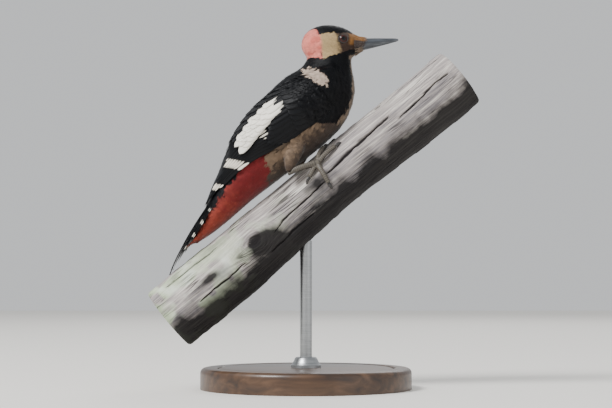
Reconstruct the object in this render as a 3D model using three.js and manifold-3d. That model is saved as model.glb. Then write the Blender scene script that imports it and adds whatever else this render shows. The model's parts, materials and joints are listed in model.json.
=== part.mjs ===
// Great spotted woodpecker, an adult male, life size, clinging to a cut length of dead branch on a stand.
// Millimetres, +Z up. The origin is the centre of the base's underside, the bird faces +X, its left is +Y.
// The bird and its branch are drawn in a frame of their own that lies along the branch: x runs up the
// branch, y to the bird's left and z away from the wood, with the tail's tip near the origin. The group
// `perched` turns that frame to the branch's slope and lifts it onto the stand.
import * as THREE from "three";
import { mergeVertices } from "three/addons/utils/BufferGeometryUtils.js";
import Module from "manifold-3d";

const wasm = await Module();
wasm.setup();

// Driving dimensions.
const slope = THREE.MathUtils.degToRad(39.6); // the branch above the horizontal
const gap = 0.3; // clearance between pieces that meet
const branch = {
  low: -20, // its ends, along the bird frame's x
  high: 232,
  lowRadius: 23,
  highRadius: 20.5,
  swell: 0.8, // how far its girth wavers along its length
  fluting: 0.55, // depth of the hollows round its sides and underside
};
const head = { x: 179.5, z: 47, pitch: THREE.MathUtils.degToRad(33.6) }; // pitch is down from the branch line
const bill = { root: 12, length: 32, height: 9.2, width: 9.4, middle: 1, lift: 0.5, gape: 1.2 };
const eye = { radius: 3.7, x: 6.4, y: 7.5, z: 4.4 };
const leg = {
  rightFootX: 121, // where each ankle stands along the branch
  leftFootX: 128,
  aroundBranch: THREE.MathUtils.degToRad(50), // from the branch's top
  ankleLift: 1.2,
  heelBack: 18.5, // the heel towards the tail from the ankle, out from the middle and up
  heelOut: 20.4,
  heelHeight: 1.4,
};
const toe = { radius: 1.85, tipRadius: 1.4, lift: 0.45 };
const claw = {
  length: 8.2,
  root: 1.5, // half-depth at the toe, and at the point
  tip: 0.32,
  taper: 0.8,
  flatness: 0.75,
  rise: 2.4,
  hook: THREE.MathUtils.degToRad(88),
};
// Where the body is parted: [x, z, degrees from the branch line to the direction square to the cut].
const cuts = { head: [170, 41.5, 34], neck: [156.5, 33.5, 28], tailCoverts: [70, 18, 16] };
const base = { radius: 70, height: 14, foot: 1, bevel: 3.5, shoulder: 0.3 };
const rod = { radius: 4, blank: 136 }; // its blank reaches into the branch and is cut off below it
const collar = { radius: 10, rim: 1.5, height: 7, top: 0.7 };
const perchHeight = 76; // of the bird frame's origin above the floor
const perchX = -90; // of the bird frame's origin from the base's centre

const root = new THREE.Group();
const perched = new THREE.Group();
perched.rotation.y = -slope;
perched.position.set(perchX, 0, perchHeight);
perched.updateMatrixWorld(true);
root.add(perched);

function finish(color, roughness, metalness = 0) {
  return new THREE.MeshStandardMaterial({ color, roughness, metalness });
}

const finishes = {
  black: finish(0x16181d, 0.45),
  buff: finish(0xb9a68a, 0.8),
  red: finish(0xb3231c, 0.7),
  horn: finish(0x34383c, 0.35),
  skin: finish(0x6a6a62, 0.6),
  eye: finish(0x2a0c08, 0.05),
  bark: finish(0x9b958c, 0.9),
  wood: finish(0x3a2418, 0.4),
  steel: finish(0x9a9da0, 0.3, 1),
};

// A closed surface over rings of points. All rings hold the same number, and run anticlockwise as seen
// from the last ring.
function skinOver(rings) {
  const around = rings[0].length;
  const points = rings.flat();
  const faces = [];
  for (let i = 0; i + 1 < rings.length; i++) {
    for (let j = 0; j < around; j++) {
      const a = i * around + j;
      const b = i * around + ((j + 1) % around);
      faces.push(a, b, a + around, b, b + around, a + around);
    }
  }
  const caps = [rings[0], rings.at(-1)].map((ring) => {
    const middle = ring.reduce((sum, p) => sum.add(p), new THREE.Vector3());
    return points.push(middle.divideScalar(around)) - 1;
  });
  const last = (rings.length - 1) * around;
  for (let j = 0; j < around; j++) {
    const next = (j + 1) % around;
    faces.push(caps[0], next, j, caps[1], last + j, last + next);
  }
  const surface = new THREE.BufferGeometry().setFromPoints(points);
  surface.setIndex(faces);
  return surface;
}

const leastSize = new THREE.Vector2(0.3, 0.3); // no section of a loft is smaller than this

// Smooth sections along a path. A station is [x, y, z, up, side, roll in degrees, bend]: up and side are the
// section's half-sizes, roll turns it about the path, and bend draws the two ends of its up axis sideways.
function loft(stations, along, around, grow = 0) {
  const path = new THREE.CatmullRomCurve3(stations.map(([x, y, z]) => new THREE.Vector3(x, y, z)));
  path.curveType = "catmullrom";
  const sizes = new THREE.SplineCurve(stations.map((s) => new THREE.Vector2(s[3], s[4])));
  const turns = new THREE.SplineCurve(stations.map((s) => new THREE.Vector2(s[5] ?? 0, s[6] ?? 0)));
  const rings = [];
  for (let i = 0; i <= along; i++) {
    const t = i / along;
    const centre = path.getPoint(t);
    const forward = path.getTangent(t);
    const side = new THREE.Vector3(0, 1, 0).projectOnPlane(forward).normalize();
    const size = sizes.getPoint(t).max(leastSize);
    const turn = turns.getPoint(t);
    side.applyAxisAngle(forward, -THREE.MathUtils.degToRad(turn.x));
    const up = new THREE.Vector3().crossVectors(forward, side);
    if (i === 0) centre.addScaledVector(forward, -grow);
    if (i === along) centre.addScaledVector(forward, grow);
    const ring = [];
    for (let j = 0; j < around; j++) {
      const angle = (2 * Math.PI * j) / around;
      const rise = Math.sin(angle) * (size.x + grow);
      const across = Math.cos(angle) * (size.y + grow) + turn.y * (rise / size.x) ** 2;
      ring.push(centre.clone().addScaledVector(up, rise).addScaledVector(side, across));
    }
    rings.push(ring);
  }
  return skinOver(rings);
}

// The same stations on the bird's other side.
function mirrored(stations) {
  return stations.map(([x, y, z, up, side, roll = 0, bend = 0]) => [x, -y, z, up, side, -roll, -bend]);
}

function solid(geometry) {
  const bare = geometry.clone();
  bare.deleteAttribute("normal");
  bare.deleteAttribute("uv");
  const merged = mergeVertices(bare, 1e-4);
  return new wasm.Manifold(
    new wasm.Mesh({
      numProp: 3,
      vertProperties: merged.attributes.position.array,
      triVerts: new Uint32Array(merged.index.array),
    }),
  );
}

function geometryOf(shape) {
  const mesh = shape.getMesh();
  const geometry = new THREE.BufferGeometry();
  geometry.setAttribute("position", new THREE.BufferAttribute(mesh.vertProperties, 3));
  geometry.setIndex(new THREE.BufferAttribute(mesh.triVerts, 1));
  return geometry;
}

function add(name, shape, material, parent = perched) {
  const mesh = new THREE.Mesh(geometryOf(shape), material);
  mesh.name = name;
  parent.add(mesh);
  return mesh;
}

// Parts a solid with a thin cut. Returns what lies beyond the cut and what lies before it.
function partAt(shape, [x, z, degrees]) {
  const direction = THREE.MathUtils.degToRad(degrees);
  const normal = [Math.cos(direction), 0, Math.sin(direction)];
  const reach = x * normal[0] + z * normal[2];
  const back = normal.map((n) => -n);
  return [shape.trimByPlane(normal, reach + gap / 2), shape.trimByPlane(back, gap / 2 - reach)];
}

// Head frame to bird frame: along the bill, to the left, and up from the bill.
const headPlace = new THREE.Matrix4().makeRotationY(head.pitch).setPosition(head.x, 0, head.z);

// Trunk and neck, from the rump to inside the head.
const trunkStations = [
  [25, 0, 5.6, 1.2, 4.5],
  [38, 0, 8.6, 5.6, 9.6],
  [54, 0, 12.4, 9.8, 13.4],
  [72, 0, 17.8, 15, 17.2],
  [92, 0, 22.8, 20.8, 20.4],
  [112, 0, 26, 24.4, 22.4],
  [131, 0, 26.8, 25.4, 23],
  [147, 0, 28, 25.2, 22],
  [159.5, 0, 32.2, 21.8, 19.2],
  [169.5, 0, 39.2, 16, 15.2],
  [177.5, 0, 45.5, 12.6, 12.2],
];
// Head: [along the bill, centre height, half-height, half-width] in the head frame.
const headSections = [
  [-20.8, 1.4, 1, 1],
  [-19, 1.8, 6.8, 6.4],
  [-14, 2.4, 11.8, 10.4],
  [-6.5, 2.5, 14, 12.4],
  [1, 2.1, 13.6, 12.3],
  [7.4, 1.8, 11.6, 10.4],
  [12.2, 1.4, 8.8, 8],
  [16, 1.1, 6, 5.7],
  [18.2, 1, 4.2, 4.4],
];

function headShape(grow) {
  const stations = headSections.map(([x, z, up, side]) => [x, 0, z, up, side]);
  return solid(loft(stations, 16, 20, grow).applyMatrix4(headPlace));
}

const trunkSolid = (grow) => solid(loft(trunkStations, 22, 20, grow));
const whole = trunkSolid(0).add(headShape(0));

// Bill, a straight chisel: shares of its length, height and width, from inside the head to the tip.
function billShape() {
  const stations = [
    [0, 0.5, 0.5],
    [0.28, 0.43, 0.42],
    [0.55, 0.31, 0.29],
    [0.8, 0.19, 0.15],
    [1, 0.08, 0.1],
  ].map(([share, up, side]) => [
    bill.root + share * bill.length,
    0,
    bill.middle + bill.lift * share,
    up * bill.height,
    side * bill.width,
  ]);
  return solid(loft(stations, 8, 10));
}

const sides = { right: -1, left: 1 };

function eyeBall(side, grow) {
  const ball = new THREE.SphereGeometry(eye.radius + grow, 14, 9);
  ball.rotateX(Math.PI / 2).translate(eye.x, side * eye.y, eye.z);
  return solid(ball.applyMatrix4(headPlace));
}

const [headCut, belowHead] = partAt(whole, cuts.head);
const [neck, belowNeck] = partAt(belowHead, cuts.neck);
const [trunk, tailCoverts] = partAt(belowNeck, cuts.tailCoverts);

let headSolid = headCut;
for (const [name, side] of Object.entries(sides)) {
  headSolid = headSolid.subtract(eyeBall(side, gap));
  add(`eye_${name}`, eyeBall(side, 0), finishes.eye);
}
add("head", headSolid, finishes.black);
add("neck", neck, finishes.black);
add("trunk", trunk, finishes.buff);
add("tail_coverts", tailCoverts, finishes.red);

// The bill is parted along the gape, in its own straight frame, before it is placed.
const [billUpper, billLower] = partAt(billShape(), [0, bill.gape, 90]);
for (const [name, shape] of Object.entries({ bill_upper: billUpper, bill_lower: billLower })) {
  const placed = shape.transform(headPlace.elements);
  add(name, placed.subtract(headShape(gap)), finishes.horn);
}

// Tail, a stiff wedge of overlapping feathers, bowed down to the branch and arched across.
const tailStations = [
  [64, 0, 20.8, 9, 3, 90, -1.6],
  [52, 0, 18.2, 11.8, 3.2, 90, -2.6],
  [38, 0, 14.4, 13.8, 2.9, 90, -3.4],
  [24, 0, 10.1, 13.8, 2.5, 90, -3.2],
  [12, 0, 6, 11, 1.9, 90, -2],
  [4, 0, 3.2, 6.8, 1.3, 90, -0.8],
  [-1.5, 0, 1.7, 2.6, 0.8, 90, 0],
];
const tailShape = (grow) => solid(loft(tailStations, 12, 14, grow));
add("tail", tailShape(0).subtract(trunkSolid(gap)), finishes.black);

// Folded right wing, from the wrist at the breast to the tips of the primaries over the tail. It wraps
// the trunk: [x, degrees round the trunk from its side to the wing's middle, half-width of the wing,
// half-thickness, height over the trunk].
const wingSections = [
  [171, -12, 2.6, 1, 0.8],
  [164, -7, 10.5, 2.4, 1.4],
  [150, 2, 17.6, 3.2, 1.6],
  [132, 16, 19, 3.5, 1.8],
  [112, 24, 20.4, 3.4, 2],
  [93, 31, 18.8, 3, 2.4],
  [76, 41, 13.6, 2.5, 2.8],
  [58, 56, 7.2, 1.9, 3.4],
  [44, 66, 2, 0.8, 3.8],
];

// The trunk's centre height, half-height and half-width at x, between its stations.
function trunkAt(x) {
  const next = trunkStations.findIndex((station) => station[0] >= x);
  const [low, high] = [trunkStations[next - 1], trunkStations[next]];
  const share = (x - low[0]) / (high[0] - low[0]);
  return [2, 3, 4].map((i) => THREE.MathUtils.lerp(low[i], high[i], share));
}

const wingStations = wingSections.map(([x, round, half, thick, over]) => {
  const [z, up, side] = trunkAt(x);
  const angle = THREE.MathUtils.degToRad(round);
  const y = -(side + over) * Math.cos(angle);
  const height = z + (up + over) * Math.sin(angle);
  const radius = Math.max((up + side) / 2 + over, half);
  const bend = radius - Math.sqrt(radius ** 2 - half ** 2);
  return [x, y, height, half, thick, -round, bend];
});
const wings = { right: wingStations, left: mirrored(wingStations) };
const wingShape = (name, grow) => solid(loft(wings[name], 18, 14, grow));

for (const [name, side] of Object.entries(sides)) {
  const ownSide = wingShape(name, 0).trimByPlane([0, side, 0], gap / 2);
  const clear = ownSide.subtract(trunkSolid(gap)).subtract(tailShape(gap));
  add(`wing_${name}`, clear, finishes.black);
}

// The branch: its radius at a place along it and an angle round it from the top, and a point on it.
function branchRadius(x, angle) {
  const share = (x - branch.low) / (branch.high - branch.low);
  const plain = THREE.MathUtils.lerp(branch.lowRadius, branch.highRadius, share);
  const flutes = Math.cos(3 * angle + 0.012 * x) + 0.6 * Math.cos(5 * angle - 0.02 * x + 1.3);
  const swell = branch.swell * Math.sin(0.034 * x + 0.6);
  return plain + swell + branch.fluting * flutes * Math.sin(angle / 2) ** 2;
}

function branchPoint(x, angle, lift = 0) {
  const radius = branchRadius(x, angle) + lift;
  const top = branchRadius(x, 0);
  return new THREE.Vector3(x, radius * Math.sin(angle), radius * Math.cos(angle) - top);
}

function branchShape(grow = 0) {
  const along = 16;
  const around = 24;
  const rings = [];
  for (let i = 0; i <= along; i++) {
    const x = THREE.MathUtils.lerp(branch.low, branch.high, i / along);
    const ring = [];
    for (let j = 0; j < around; j++) ring.push(branchPoint(x, (-2 * Math.PI * j) / around, grow));
    rings.push(ring);
  }
  return solid(skinOver(rings));
}

add("perch", branchShape(), finishes.bark);

// Legs. A thigh runs from the flank to the heel. The shank and its four toes are one foot, two toes
// forward and two back, wrapped on the branch, and each toe ends in a hooked claw of its own. A toe lies
// this far along the branch and this many degrees round it, from the ankle to its tip, and arches off it.
const toes = [
  { name: "hind", along: -9.5, round: 10, arch: 0.5 },
  { name: "inner", along: 11, round: -30, arch: 1 },
  { name: "middle", along: 16.5, round: -7, arch: 1.1 },
  { name: "outer", along: -2.5, round: 40, arch: 1.1 },
];

// Thigh: [towards the tail from the ankle, out from the middle, height, half-depth, half-width].
const thighSections = [
  [1, 13, 15.5, 7, 6],
  [7, 16.5, 9.6, 6.6, 5.6],
  [13.5, 19.2, 4.8, 4.4, 3.8],
  [leg.heelBack, leg.heelOut, leg.heelHeight, 2.3, 2.2],
];
// Shank: [forward from the heel, share of the way across and up to the ankle, drop, half-depth, half-width].
const shankSections = [
  [-0.4, 0, 0.2, 2.2, 2],
  [6, 0, 2.2, 1.8, 1.6],
  [13, 0.5, 1.2, 1.8, 1.7],
  [leg.heelBack, 1, 0, 2.3, 2.2],
  [leg.heelBack + 2, 1, 0.2, 1.6, 1.6],
];

function thighShape(footX, side, grow) {
  const stations = thighSections.map(([back, out, ...rest]) => [footX - back, side * out, ...rest]);
  return solid(loft(stations, 7, 10, grow));
}

function shankShape(footX, side, ankle) {
  const stations = shankSections.map(([forward, share, drop, ...size]) => [
    footX - leg.heelBack + forward,
    THREE.MathUtils.lerp(side * leg.heelOut, ankle.y, share),
    THREE.MathUtils.lerp(leg.heelHeight, ankle.z, share) - drop,
    ...size,
  ]);
  return solid(loft(stations, 8, 8));
}

// Points along a toe, with its radius at each.
function toePath(footX, angle, side, { along, round, arch }) {
  const turn = side * THREE.MathUtils.degToRad(round);
  const steps = 4;
  const path = [];
  for (let i = 0; i <= steps; i++) {
    const t = i / steps;
    const radius = THREE.MathUtils.lerp(toe.radius, toe.tipRadius, t);
    const lift = radius + toe.lift + arch * Math.sin(Math.PI * t);
    const at = branchPoint(footX + along * t, angle + turn * t, lift);
    path.push([at.x, at.y, at.z, radius, radius]);
  }
  return path;
}

// A claw leaves the toe's end along the toe, rises a little and hooks down to the wood.
function clawShape(path) {
  const end = new THREE.Vector3(...path.at(-1));
  const forward = end.clone().sub(new THREE.Vector3(...path.at(-2))).normalize();
  const core = branchPoint(end.x, Math.atan2(end.y, end.z + branch.lowRadius), -branch.lowRadius / 2);
  const inward = core.sub(end).projectOnPlane(forward).normalize();
  const bow = claw.length / claw.hook;
  const steps = 4;
  const stations = [];
  for (let i = 0; i <= steps; i++) {
    const t = i / steps;
    const bent = claw.hook * t;
    const sink = bow * (1 - Math.cos(bent)) - claw.rise * Math.sin((Math.PI / 2) * t);
    const at = end
      .clone()
      .addScaledVector(forward, gap + bow * Math.sin(bent))
      .addScaledVector(inward, sink);
    const size = Math.max(claw.root * (1 - t) ** claw.taper, claw.tip);
    stations.push([at.x, at.y, at.z, size, claw.flatness * size]);
  }
  return solid(loft(stations, 5, 6));
}

for (const [name, side] of Object.entries(sides)) {
  const footX = name === "right" ? leg.rightFootX : leg.leftFootX;
  const angle = side * leg.aroundBranch;
  const ankle = branchPoint(footX, angle, toe.radius + leg.ankleLift);
  const clearThigh = thighShape(footX, side, 0)
    .subtract(trunkSolid(gap))
    .subtract(wingShape(name, gap));
  add(`thigh_${name}`, clearThigh, finishes.buff);

  let foot = shankShape(footX, side, ankle);
  toes.forEach((one, index) => {
    const path = toePath(footX, angle, side, one);
    foot = foot.add(solid(loft(path, 5, 7)));
    const clearClaw = clawShape(path).subtract(branchShape(gap));
    add(`claw_${name}_${index + 1}_${one.name}`, clearClaw, finishes.horn);
  });
  const clearFoot = foot.subtract(thighShape(footX, side, gap)).subtract(branchShape(gap));
  add(`foot_${name}`, clearFoot, finishes.skin);
}

// Display stand: a turned base, a collar on it, and a rod up to the underside of the branch.
const baseProfile = [
  [0, 0],
  [base.radius - base.foot, 0],
  [base.radius, base.foot],
  [base.radius, base.height - base.bevel],
  [base.radius - base.shoulder * base.bevel, base.height - base.shoulder * base.bevel],
  [base.radius - base.bevel, base.height],
  [0, base.height],
];
const collarProfile = [
  [rod.radius + gap, 0],
  [collar.radius, 0],
  [collar.radius, collar.rim],
  [collar.top * collar.radius, collar.height],
  [rod.radius + gap, collar.height],
  [rod.radius + gap, 0],
];

function turned(profile, segments, height) {
  const shape = new THREE.LatheGeometry(profile.map(([r, z]) => new THREE.Vector2(r, z)), segments);
  return solid(shape.rotateX(Math.PI / 2).translate(0, 0, height));
}

const rodStart = base.height + gap;
const rodShape = new THREE.CylinderGeometry(rod.radius, rod.radius, rod.blank, 20);
rodShape.rotateX(Math.PI / 2).translate(0, 0, rodStart + rod.blank / 2);
const branchAbove = branchShape(gap).transform(perched.matrixWorld.elements);
const rodBelow = solid(rodShape).subtract(branchAbove).decompose();
rodBelow.sort((a, b) => a.boundingBox().min[2] - b.boundingBox().min[2]);

add("stand_base", turned(baseProfile, 40, 0), finishes.wood, root);
add("stand_collar", turned(collarProfile, 20, rodStart), finishes.steel, root);
add("stand_rod", rodBelow[0], finishes.steel, root);

export default root;
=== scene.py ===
import json
import math

import bpy
import numpy as np
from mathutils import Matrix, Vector
from mathutils.bvhtree import BVHTree
from mathutils.kdtree import KDTree

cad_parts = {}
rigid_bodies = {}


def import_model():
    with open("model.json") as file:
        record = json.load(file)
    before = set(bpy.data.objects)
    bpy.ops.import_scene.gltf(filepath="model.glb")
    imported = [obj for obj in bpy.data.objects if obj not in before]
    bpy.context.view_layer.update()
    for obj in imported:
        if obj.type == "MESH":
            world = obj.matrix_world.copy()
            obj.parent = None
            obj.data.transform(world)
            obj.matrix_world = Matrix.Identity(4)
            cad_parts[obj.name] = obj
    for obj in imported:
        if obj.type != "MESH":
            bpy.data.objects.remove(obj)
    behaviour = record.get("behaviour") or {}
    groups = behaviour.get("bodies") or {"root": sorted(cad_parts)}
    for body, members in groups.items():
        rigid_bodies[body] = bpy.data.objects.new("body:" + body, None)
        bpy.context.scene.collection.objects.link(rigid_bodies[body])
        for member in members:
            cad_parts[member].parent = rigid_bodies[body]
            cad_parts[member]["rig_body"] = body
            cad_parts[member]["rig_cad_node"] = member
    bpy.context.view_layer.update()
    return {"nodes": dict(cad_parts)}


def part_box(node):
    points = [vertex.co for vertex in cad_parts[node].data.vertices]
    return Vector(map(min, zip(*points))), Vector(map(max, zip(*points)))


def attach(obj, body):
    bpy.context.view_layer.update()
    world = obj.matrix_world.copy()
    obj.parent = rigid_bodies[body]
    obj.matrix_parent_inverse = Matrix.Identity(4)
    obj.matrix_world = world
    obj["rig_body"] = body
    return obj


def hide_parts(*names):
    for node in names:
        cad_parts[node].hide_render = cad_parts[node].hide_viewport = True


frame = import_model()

nodes = frame["nodes"]
mm = 0.001
chance = np.random.default_rng(23)

# The bird and its branch have a frame of their own, in mm: s runs up the branch, y to the bird's left
# and z off the wood, from the foot of the tail. The head has one in that: along the bill, left, up.
birdFrame = {"slope": 39.6, "origin": (-90.0, 0, 76.0)}
headFrame = {"pitch": 33.6, "origin": (179.5, 0, 47.0)}
# The middle line of the body from tail to bill, [s, z].
spine = [[-6, 0], [20, 5.5], [54, 12.5], [92, 22.5], [131, 27], [158, 31.5], [169, 39], [180, 48],
         [196, 39.5], [218, 24.4]]
sides = {"right": -1, "left": 1}


# Points turned by so many degrees, from their first axis towards the third.
def turned(points, degrees):
    a, y, b = np.asarray(points, float).reshape(-1, 3).T
    c, w = math.cos(math.radians(degrees)), math.sin(math.radians(degrees))
    return np.stack([a * c - b * w, y, a * w + b * c], 1)


# World metres to the bird's frame in mm, and back.
def toBird(points):
    return turned(np.asarray(points, float).reshape(-1, 3) / mm - birdFrame["origin"], -birdFrame["slope"])


def fromBird(points):
    return (turned(points, birdFrame["slope"]) + birdFrame["origin"]) * mm


# The bird's frame to the head's, and back.
def toHead(points):
    return turned(np.asarray(points, float).reshape(-1, 3) - headFrame["origin"], headFrame["pitch"])


def fromHead(points):
    return turned(points, -headFrame["pitch"]) + headFrame["origin"]


def unit(vectors):
    return vectors / np.maximum(np.linalg.norm(vectors, axis=-1, keepdims=True), 1e-12)


def smoothStep(low, high, values):
    t = np.clip((values - low) / (high - low), 0, 1)
    return t * t * (3 - 2 * t)


# Smooth noise from 0 to 1 on a plane, in cells. It repeats across every `around` cells of the second axis.
def noise(x, y, around, seed):
    table = np.random.default_rng(seed).random((512, around))
    i, j = np.floor(x).astype(int), np.floor(y).astype(int)
    u, v = x - i, y - j
    u, v = u * u * (3 - 2 * u), v * v * (3 - 2 * v)
    i0, i1, j0, j1 = i % 512, (i + 1) % 512, j % around, (j + 1) % around
    low = table[i0, j0] * (1 - u) + table[i1, j0] * u
    high = table[i0, j1] * (1 - u) + table[i1, j1] * u
    return low * (1 - v) + high * v


# The columns of a table, whose first one gives the places, read at other places.
def readOff(table, places):
    table = np.asarray(table, float)
    return [np.interp(places, table[:, 0], column) for column in table.T[1:]]


def selectOnly(*objects):
    if bpy.context.object and bpy.context.object.mode != "OBJECT":
        bpy.ops.object.mode_set(mode="OBJECT")
    bpy.ops.object.select_all(action="DESELECT")
    for each in objects:
        each.select_set(True)
    bpy.context.view_layer.objects.active = objects[0]


# The object that an operator has just made, under a name of its own.
def named(name):
    piece = bpy.context.object
    piece.name = piece.data.name = name
    return piece


def applyModifier(piece, kind, **settings):
    selectOnly(piece)
    modifier = piece.modifiers.new(kind.title(), kind)
    for key, value in settings.items():
        setattr(modifier, key, value)
    bpy.ops.object.modifier_apply(modifier=modifier.name)


def faceOutward(piece):
    selectOnly(piece)
    bpy.ops.object.mode_set(mode="EDIT")
    bpy.ops.mesh.select_all(action="SELECT")
    bpy.ops.mesh.normals_make_consistent(inside=False)
    bpy.ops.object.mode_set(mode="OBJECT")


# Opens a piece for editing, with only the faces or edges that pass a test selected.
def openWith(piece, kind, test):
    bpy.ops.object.mode_set(mode="EDIT")
    bpy.ops.mesh.select_mode(type=kind)
    bpy.ops.mesh.select_all(action="DESELECT")
    bpy.ops.object.mode_set(mode="OBJECT")
    for each in piece.data.polygons if kind == "FACE" else piece.data.edges:
        each.select = test(each)
    bpy.ops.object.mode_set(mode="EDIT")


# Leaves edit mode, and rounds off the shading wherever faces meet at less than an angle.
def smoothUnder(degrees):
    if bpy.context.object.mode == "EDIT":
        bpy.ops.mesh.select_mode(type="VERT")
        bpy.ops.object.mode_set(mode="OBJECT")
    bpy.ops.object.shade_smooth_by_angle(angle=math.radians(degrees))


# A welded copy of some of the solids, as one object.
def copyOf(names, newName):
    selectOnly(*[nodes[name] for name in names])
    bpy.ops.object.duplicate()
    if len(names) > 1:
        bpy.ops.object.join()
    copy = named(newName)
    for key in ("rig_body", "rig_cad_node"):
        del copy[key]
    copy.parent = None
    copy.data.materials.clear()
    bpy.ops.object.mode_set(mode="EDIT")
    bpy.ops.mesh.select_all(action="SELECT")
    bpy.ops.mesh.remove_doubles(threshold=0.01 * mm)
    bpy.ops.mesh.customdata_custom_splitnormals_clear()
    bpy.ops.object.mode_set(mode="OBJECT")
    return copy


def readInts(items, what, columns=1):
    data = np.zeros(len(items) * columns, np.int32)
    items.foreach_get(what, data)
    return data.reshape(-1, columns) if columns > 1 else data


def pointsOf(mesh, what="co"):
    data = np.zeros(len(mesh.vertices) * 3)
    if what == "normal":
        mesh.vertex_normals.foreach_get("vector", data)
    else:
        mesh.vertices.foreach_get("co", data)
    return data.reshape(-1, 3)


# Normals in the bird's frame.
def normalsOf(mesh):
    return unit(turned(pointsOf(mesh, "normal"), -birdFrame["slope"]))


def setPoints(mesh, points):
    mesh.vertices.foreach_set("co", points.astype(np.float32).ravel())
    mesh.update()


def setValues(mesh, name, values):
    values = np.asarray(values, np.float32)
    if values.ndim == 1:
        mesh.attributes.new(name, "FLOAT", "POINT").data.foreach_set("value", values)
    else:
        rgba = np.ones((len(values), 4), np.float32)
        rgba[:, :3] = values
        mesh.color_attributes.new(name, "FLOAT_COLOR", "POINT").data.foreach_set("color", rgba.ravel())


# A mesh from arrays, with smooth faces, per-point values and UV maps.
def meshPiece(name, points, quads, triangles=(), values=None, maps=None):
    quads = np.asarray(quads, np.int32).reshape(-1, 4)
    triangles = np.asarray(triangles, np.int32).reshape(-1, 3)
    loops = np.concatenate([quads.ravel(), triangles.ravel()])
    starts = np.concatenate([np.arange(len(quads)) * 4, len(quads) * 4 + np.arange(len(triangles)) * 3])
    mesh = bpy.data.meshes.new(name)
    mesh.vertices.add(len(points))
    mesh.vertices.foreach_set("co", np.asarray(points, np.float32).ravel())
    mesh.loops.add(len(loops))
    mesh.loops.foreach_set("vertex_index", loops)
    mesh.polygons.add(len(starts))
    mesh.polygons.foreach_set("loop_start", starts.astype(np.int32))
    mesh.update(calc_edges=True)
    mesh.shade_smooth()
    for key, each in (values or {}).items():
        setValues(mesh, key, each)
    for key, each in (maps or {}).items():
        layer = mesh.uv_layers.new(name=key)
        layer.data.foreach_set("uv", np.asarray(each, np.float32)[loops].ravel())
    piece = bpy.data.objects.new(name, mesh)
    bpy.context.scene.collection.objects.link(piece)
    return piece


# Gives a finished piece its material, and hides the solids it stands for.
def settle(piece, material, replaced=()):
    piece.data.materials.append(material)
    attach(piece, "root")
    if replaced:
        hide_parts(*replaced)


def linear(hexColour):
    channels = [int(hexColour[i:i + 2], 16) / 255 for i in (1, 3, 5)]
    return np.array([c / 12.92 if c <= 0.04045 else ((c + 0.055) / 1.055) ** 2.4 for c in channels])


def colour(hexColour):
    return (*linear(hexColour), 1.0)


def wireUp(tree, source, socket):
    tree.links.new(source if isinstance(source, bpy.types.NodeSocket) else source.outputs[0], socket)


def addNode(tree, kind, settings=None, links=None):
    node = tree.nodes.new("ShaderNode" + kind)
    for key, value in (settings or {}).items():
        if isinstance(key, str) and hasattr(node, key):
            setattr(node, key, value)
        else:
            node.inputs[key].default_value = value
    for key, source in (links or {}).items():
        wireUp(tree, source, node.inputs[key])
    return node


# Sums on numbers and nodes: each value goes to the socket at its place.
def maths(tree, operation, *values):
    plain = {i: value for i, value in enumerate(values) if isinstance(value, (int, float))}
    linked = {i: value for i, value in enumerate(values) if i not in plain}
    return addNode(tree, "Math", {"operation": operation, **plain}, linked)


def ranged(tree, value, low, high, top=1.0):
    return addNode(tree, "MapRange", {"From Min": low, "From Max": high, "To Max": top}, {"Value": value})


def valueOf(tree, name, output="Fac"):
    return addNode(tree, "Attribute", {"attribute_name": name}).outputs[output]


# Noise with cells so many mm across.
def cellNoise(tree, cell, detail):
    place = addNode(tree, "TexCoord").outputs["Object"]
    return addNode(tree, "TexNoise", {"Scale": 1 / (cell * mm), "Detail": detail}, {"Vector": place})


# A colour ramp from [place, hex colour] stops.
def ramp(tree, source, stops):
    node = addNode(tree, "ValToRGB", links={"Fac": source})
    elements = node.color_ramp.elements
    while len(elements) < len(stops):
        elements.new(0.5)
    for element, (place, hexColour) in zip(elements, stops):
        element.position = place
        element.color = colour(hexColour)
    return node


def mixTo(tree, share, first, second):
    node = addNode(tree, "Mix", {"data_type": "RGBA"}, {"Factor": share, 6: first})
    if isinstance(second, str):
        node.inputs[7].default_value = colour(second)
    else:
        wireUp(tree, second, node.inputs[7])
    return node.outputs[2]


def scaled(tree, tint, share):
    return addNode(tree, "VectorMath", {"operation": "SCALE"}, {0: tint, "Scale": share})


def newMaterial(name, **shading):
    material = bpy.data.materials.new(name)
    material.use_nodes = True
    shader = material.node_tree.nodes["Principled BSDF"]
    for key, value in shading.items():
        shader.inputs[key].default_value = value
    return material, material.node_tree, shader


# Gives a shader its colour and its relief, so many mm deep.
def dress(tree, shader, tone, height, strength, depth):
    wireUp(tree, tone, shader.inputs["Base Color"])
    relief = addNode(tree, "Bump", {"Strength": strength, "Distance": depth * mm}, {"Height": height})
    wireUp(tree, relief, shader.inputs["Normal"])


# Lines that run out from the shaft of a feather towards its tip, as its barbs do. Real barbs lie about
# 0.1 mm apart, too fine to show, so they are drawn as bundles a third of a millimetre apart or more.
def barbLines(tree, spacing=0.32):
    place = addNode(tree, "UVMap", {"uv_map": "Barbs"})
    parts = addNode(tree, "SeparateXYZ", links={0: place})
    lean = maths(tree, "MULTIPLY_ADD", maths(tree, "ABSOLUTE", parts.outputs[0]), -1.1, parts.outputs[1])
    wobble = addNode(tree, "TexNoise", {"Scale": 4.0, "Detail": 2.0}, {"Vector": place})
    bent = maths(tree, "MULTIPLY_ADD", wobble, 0.05, lean)
    return maths(tree, "SINE", maths(tree, "MULTIPLY", bent, 2 * math.pi * 10 / spacing))


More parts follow.
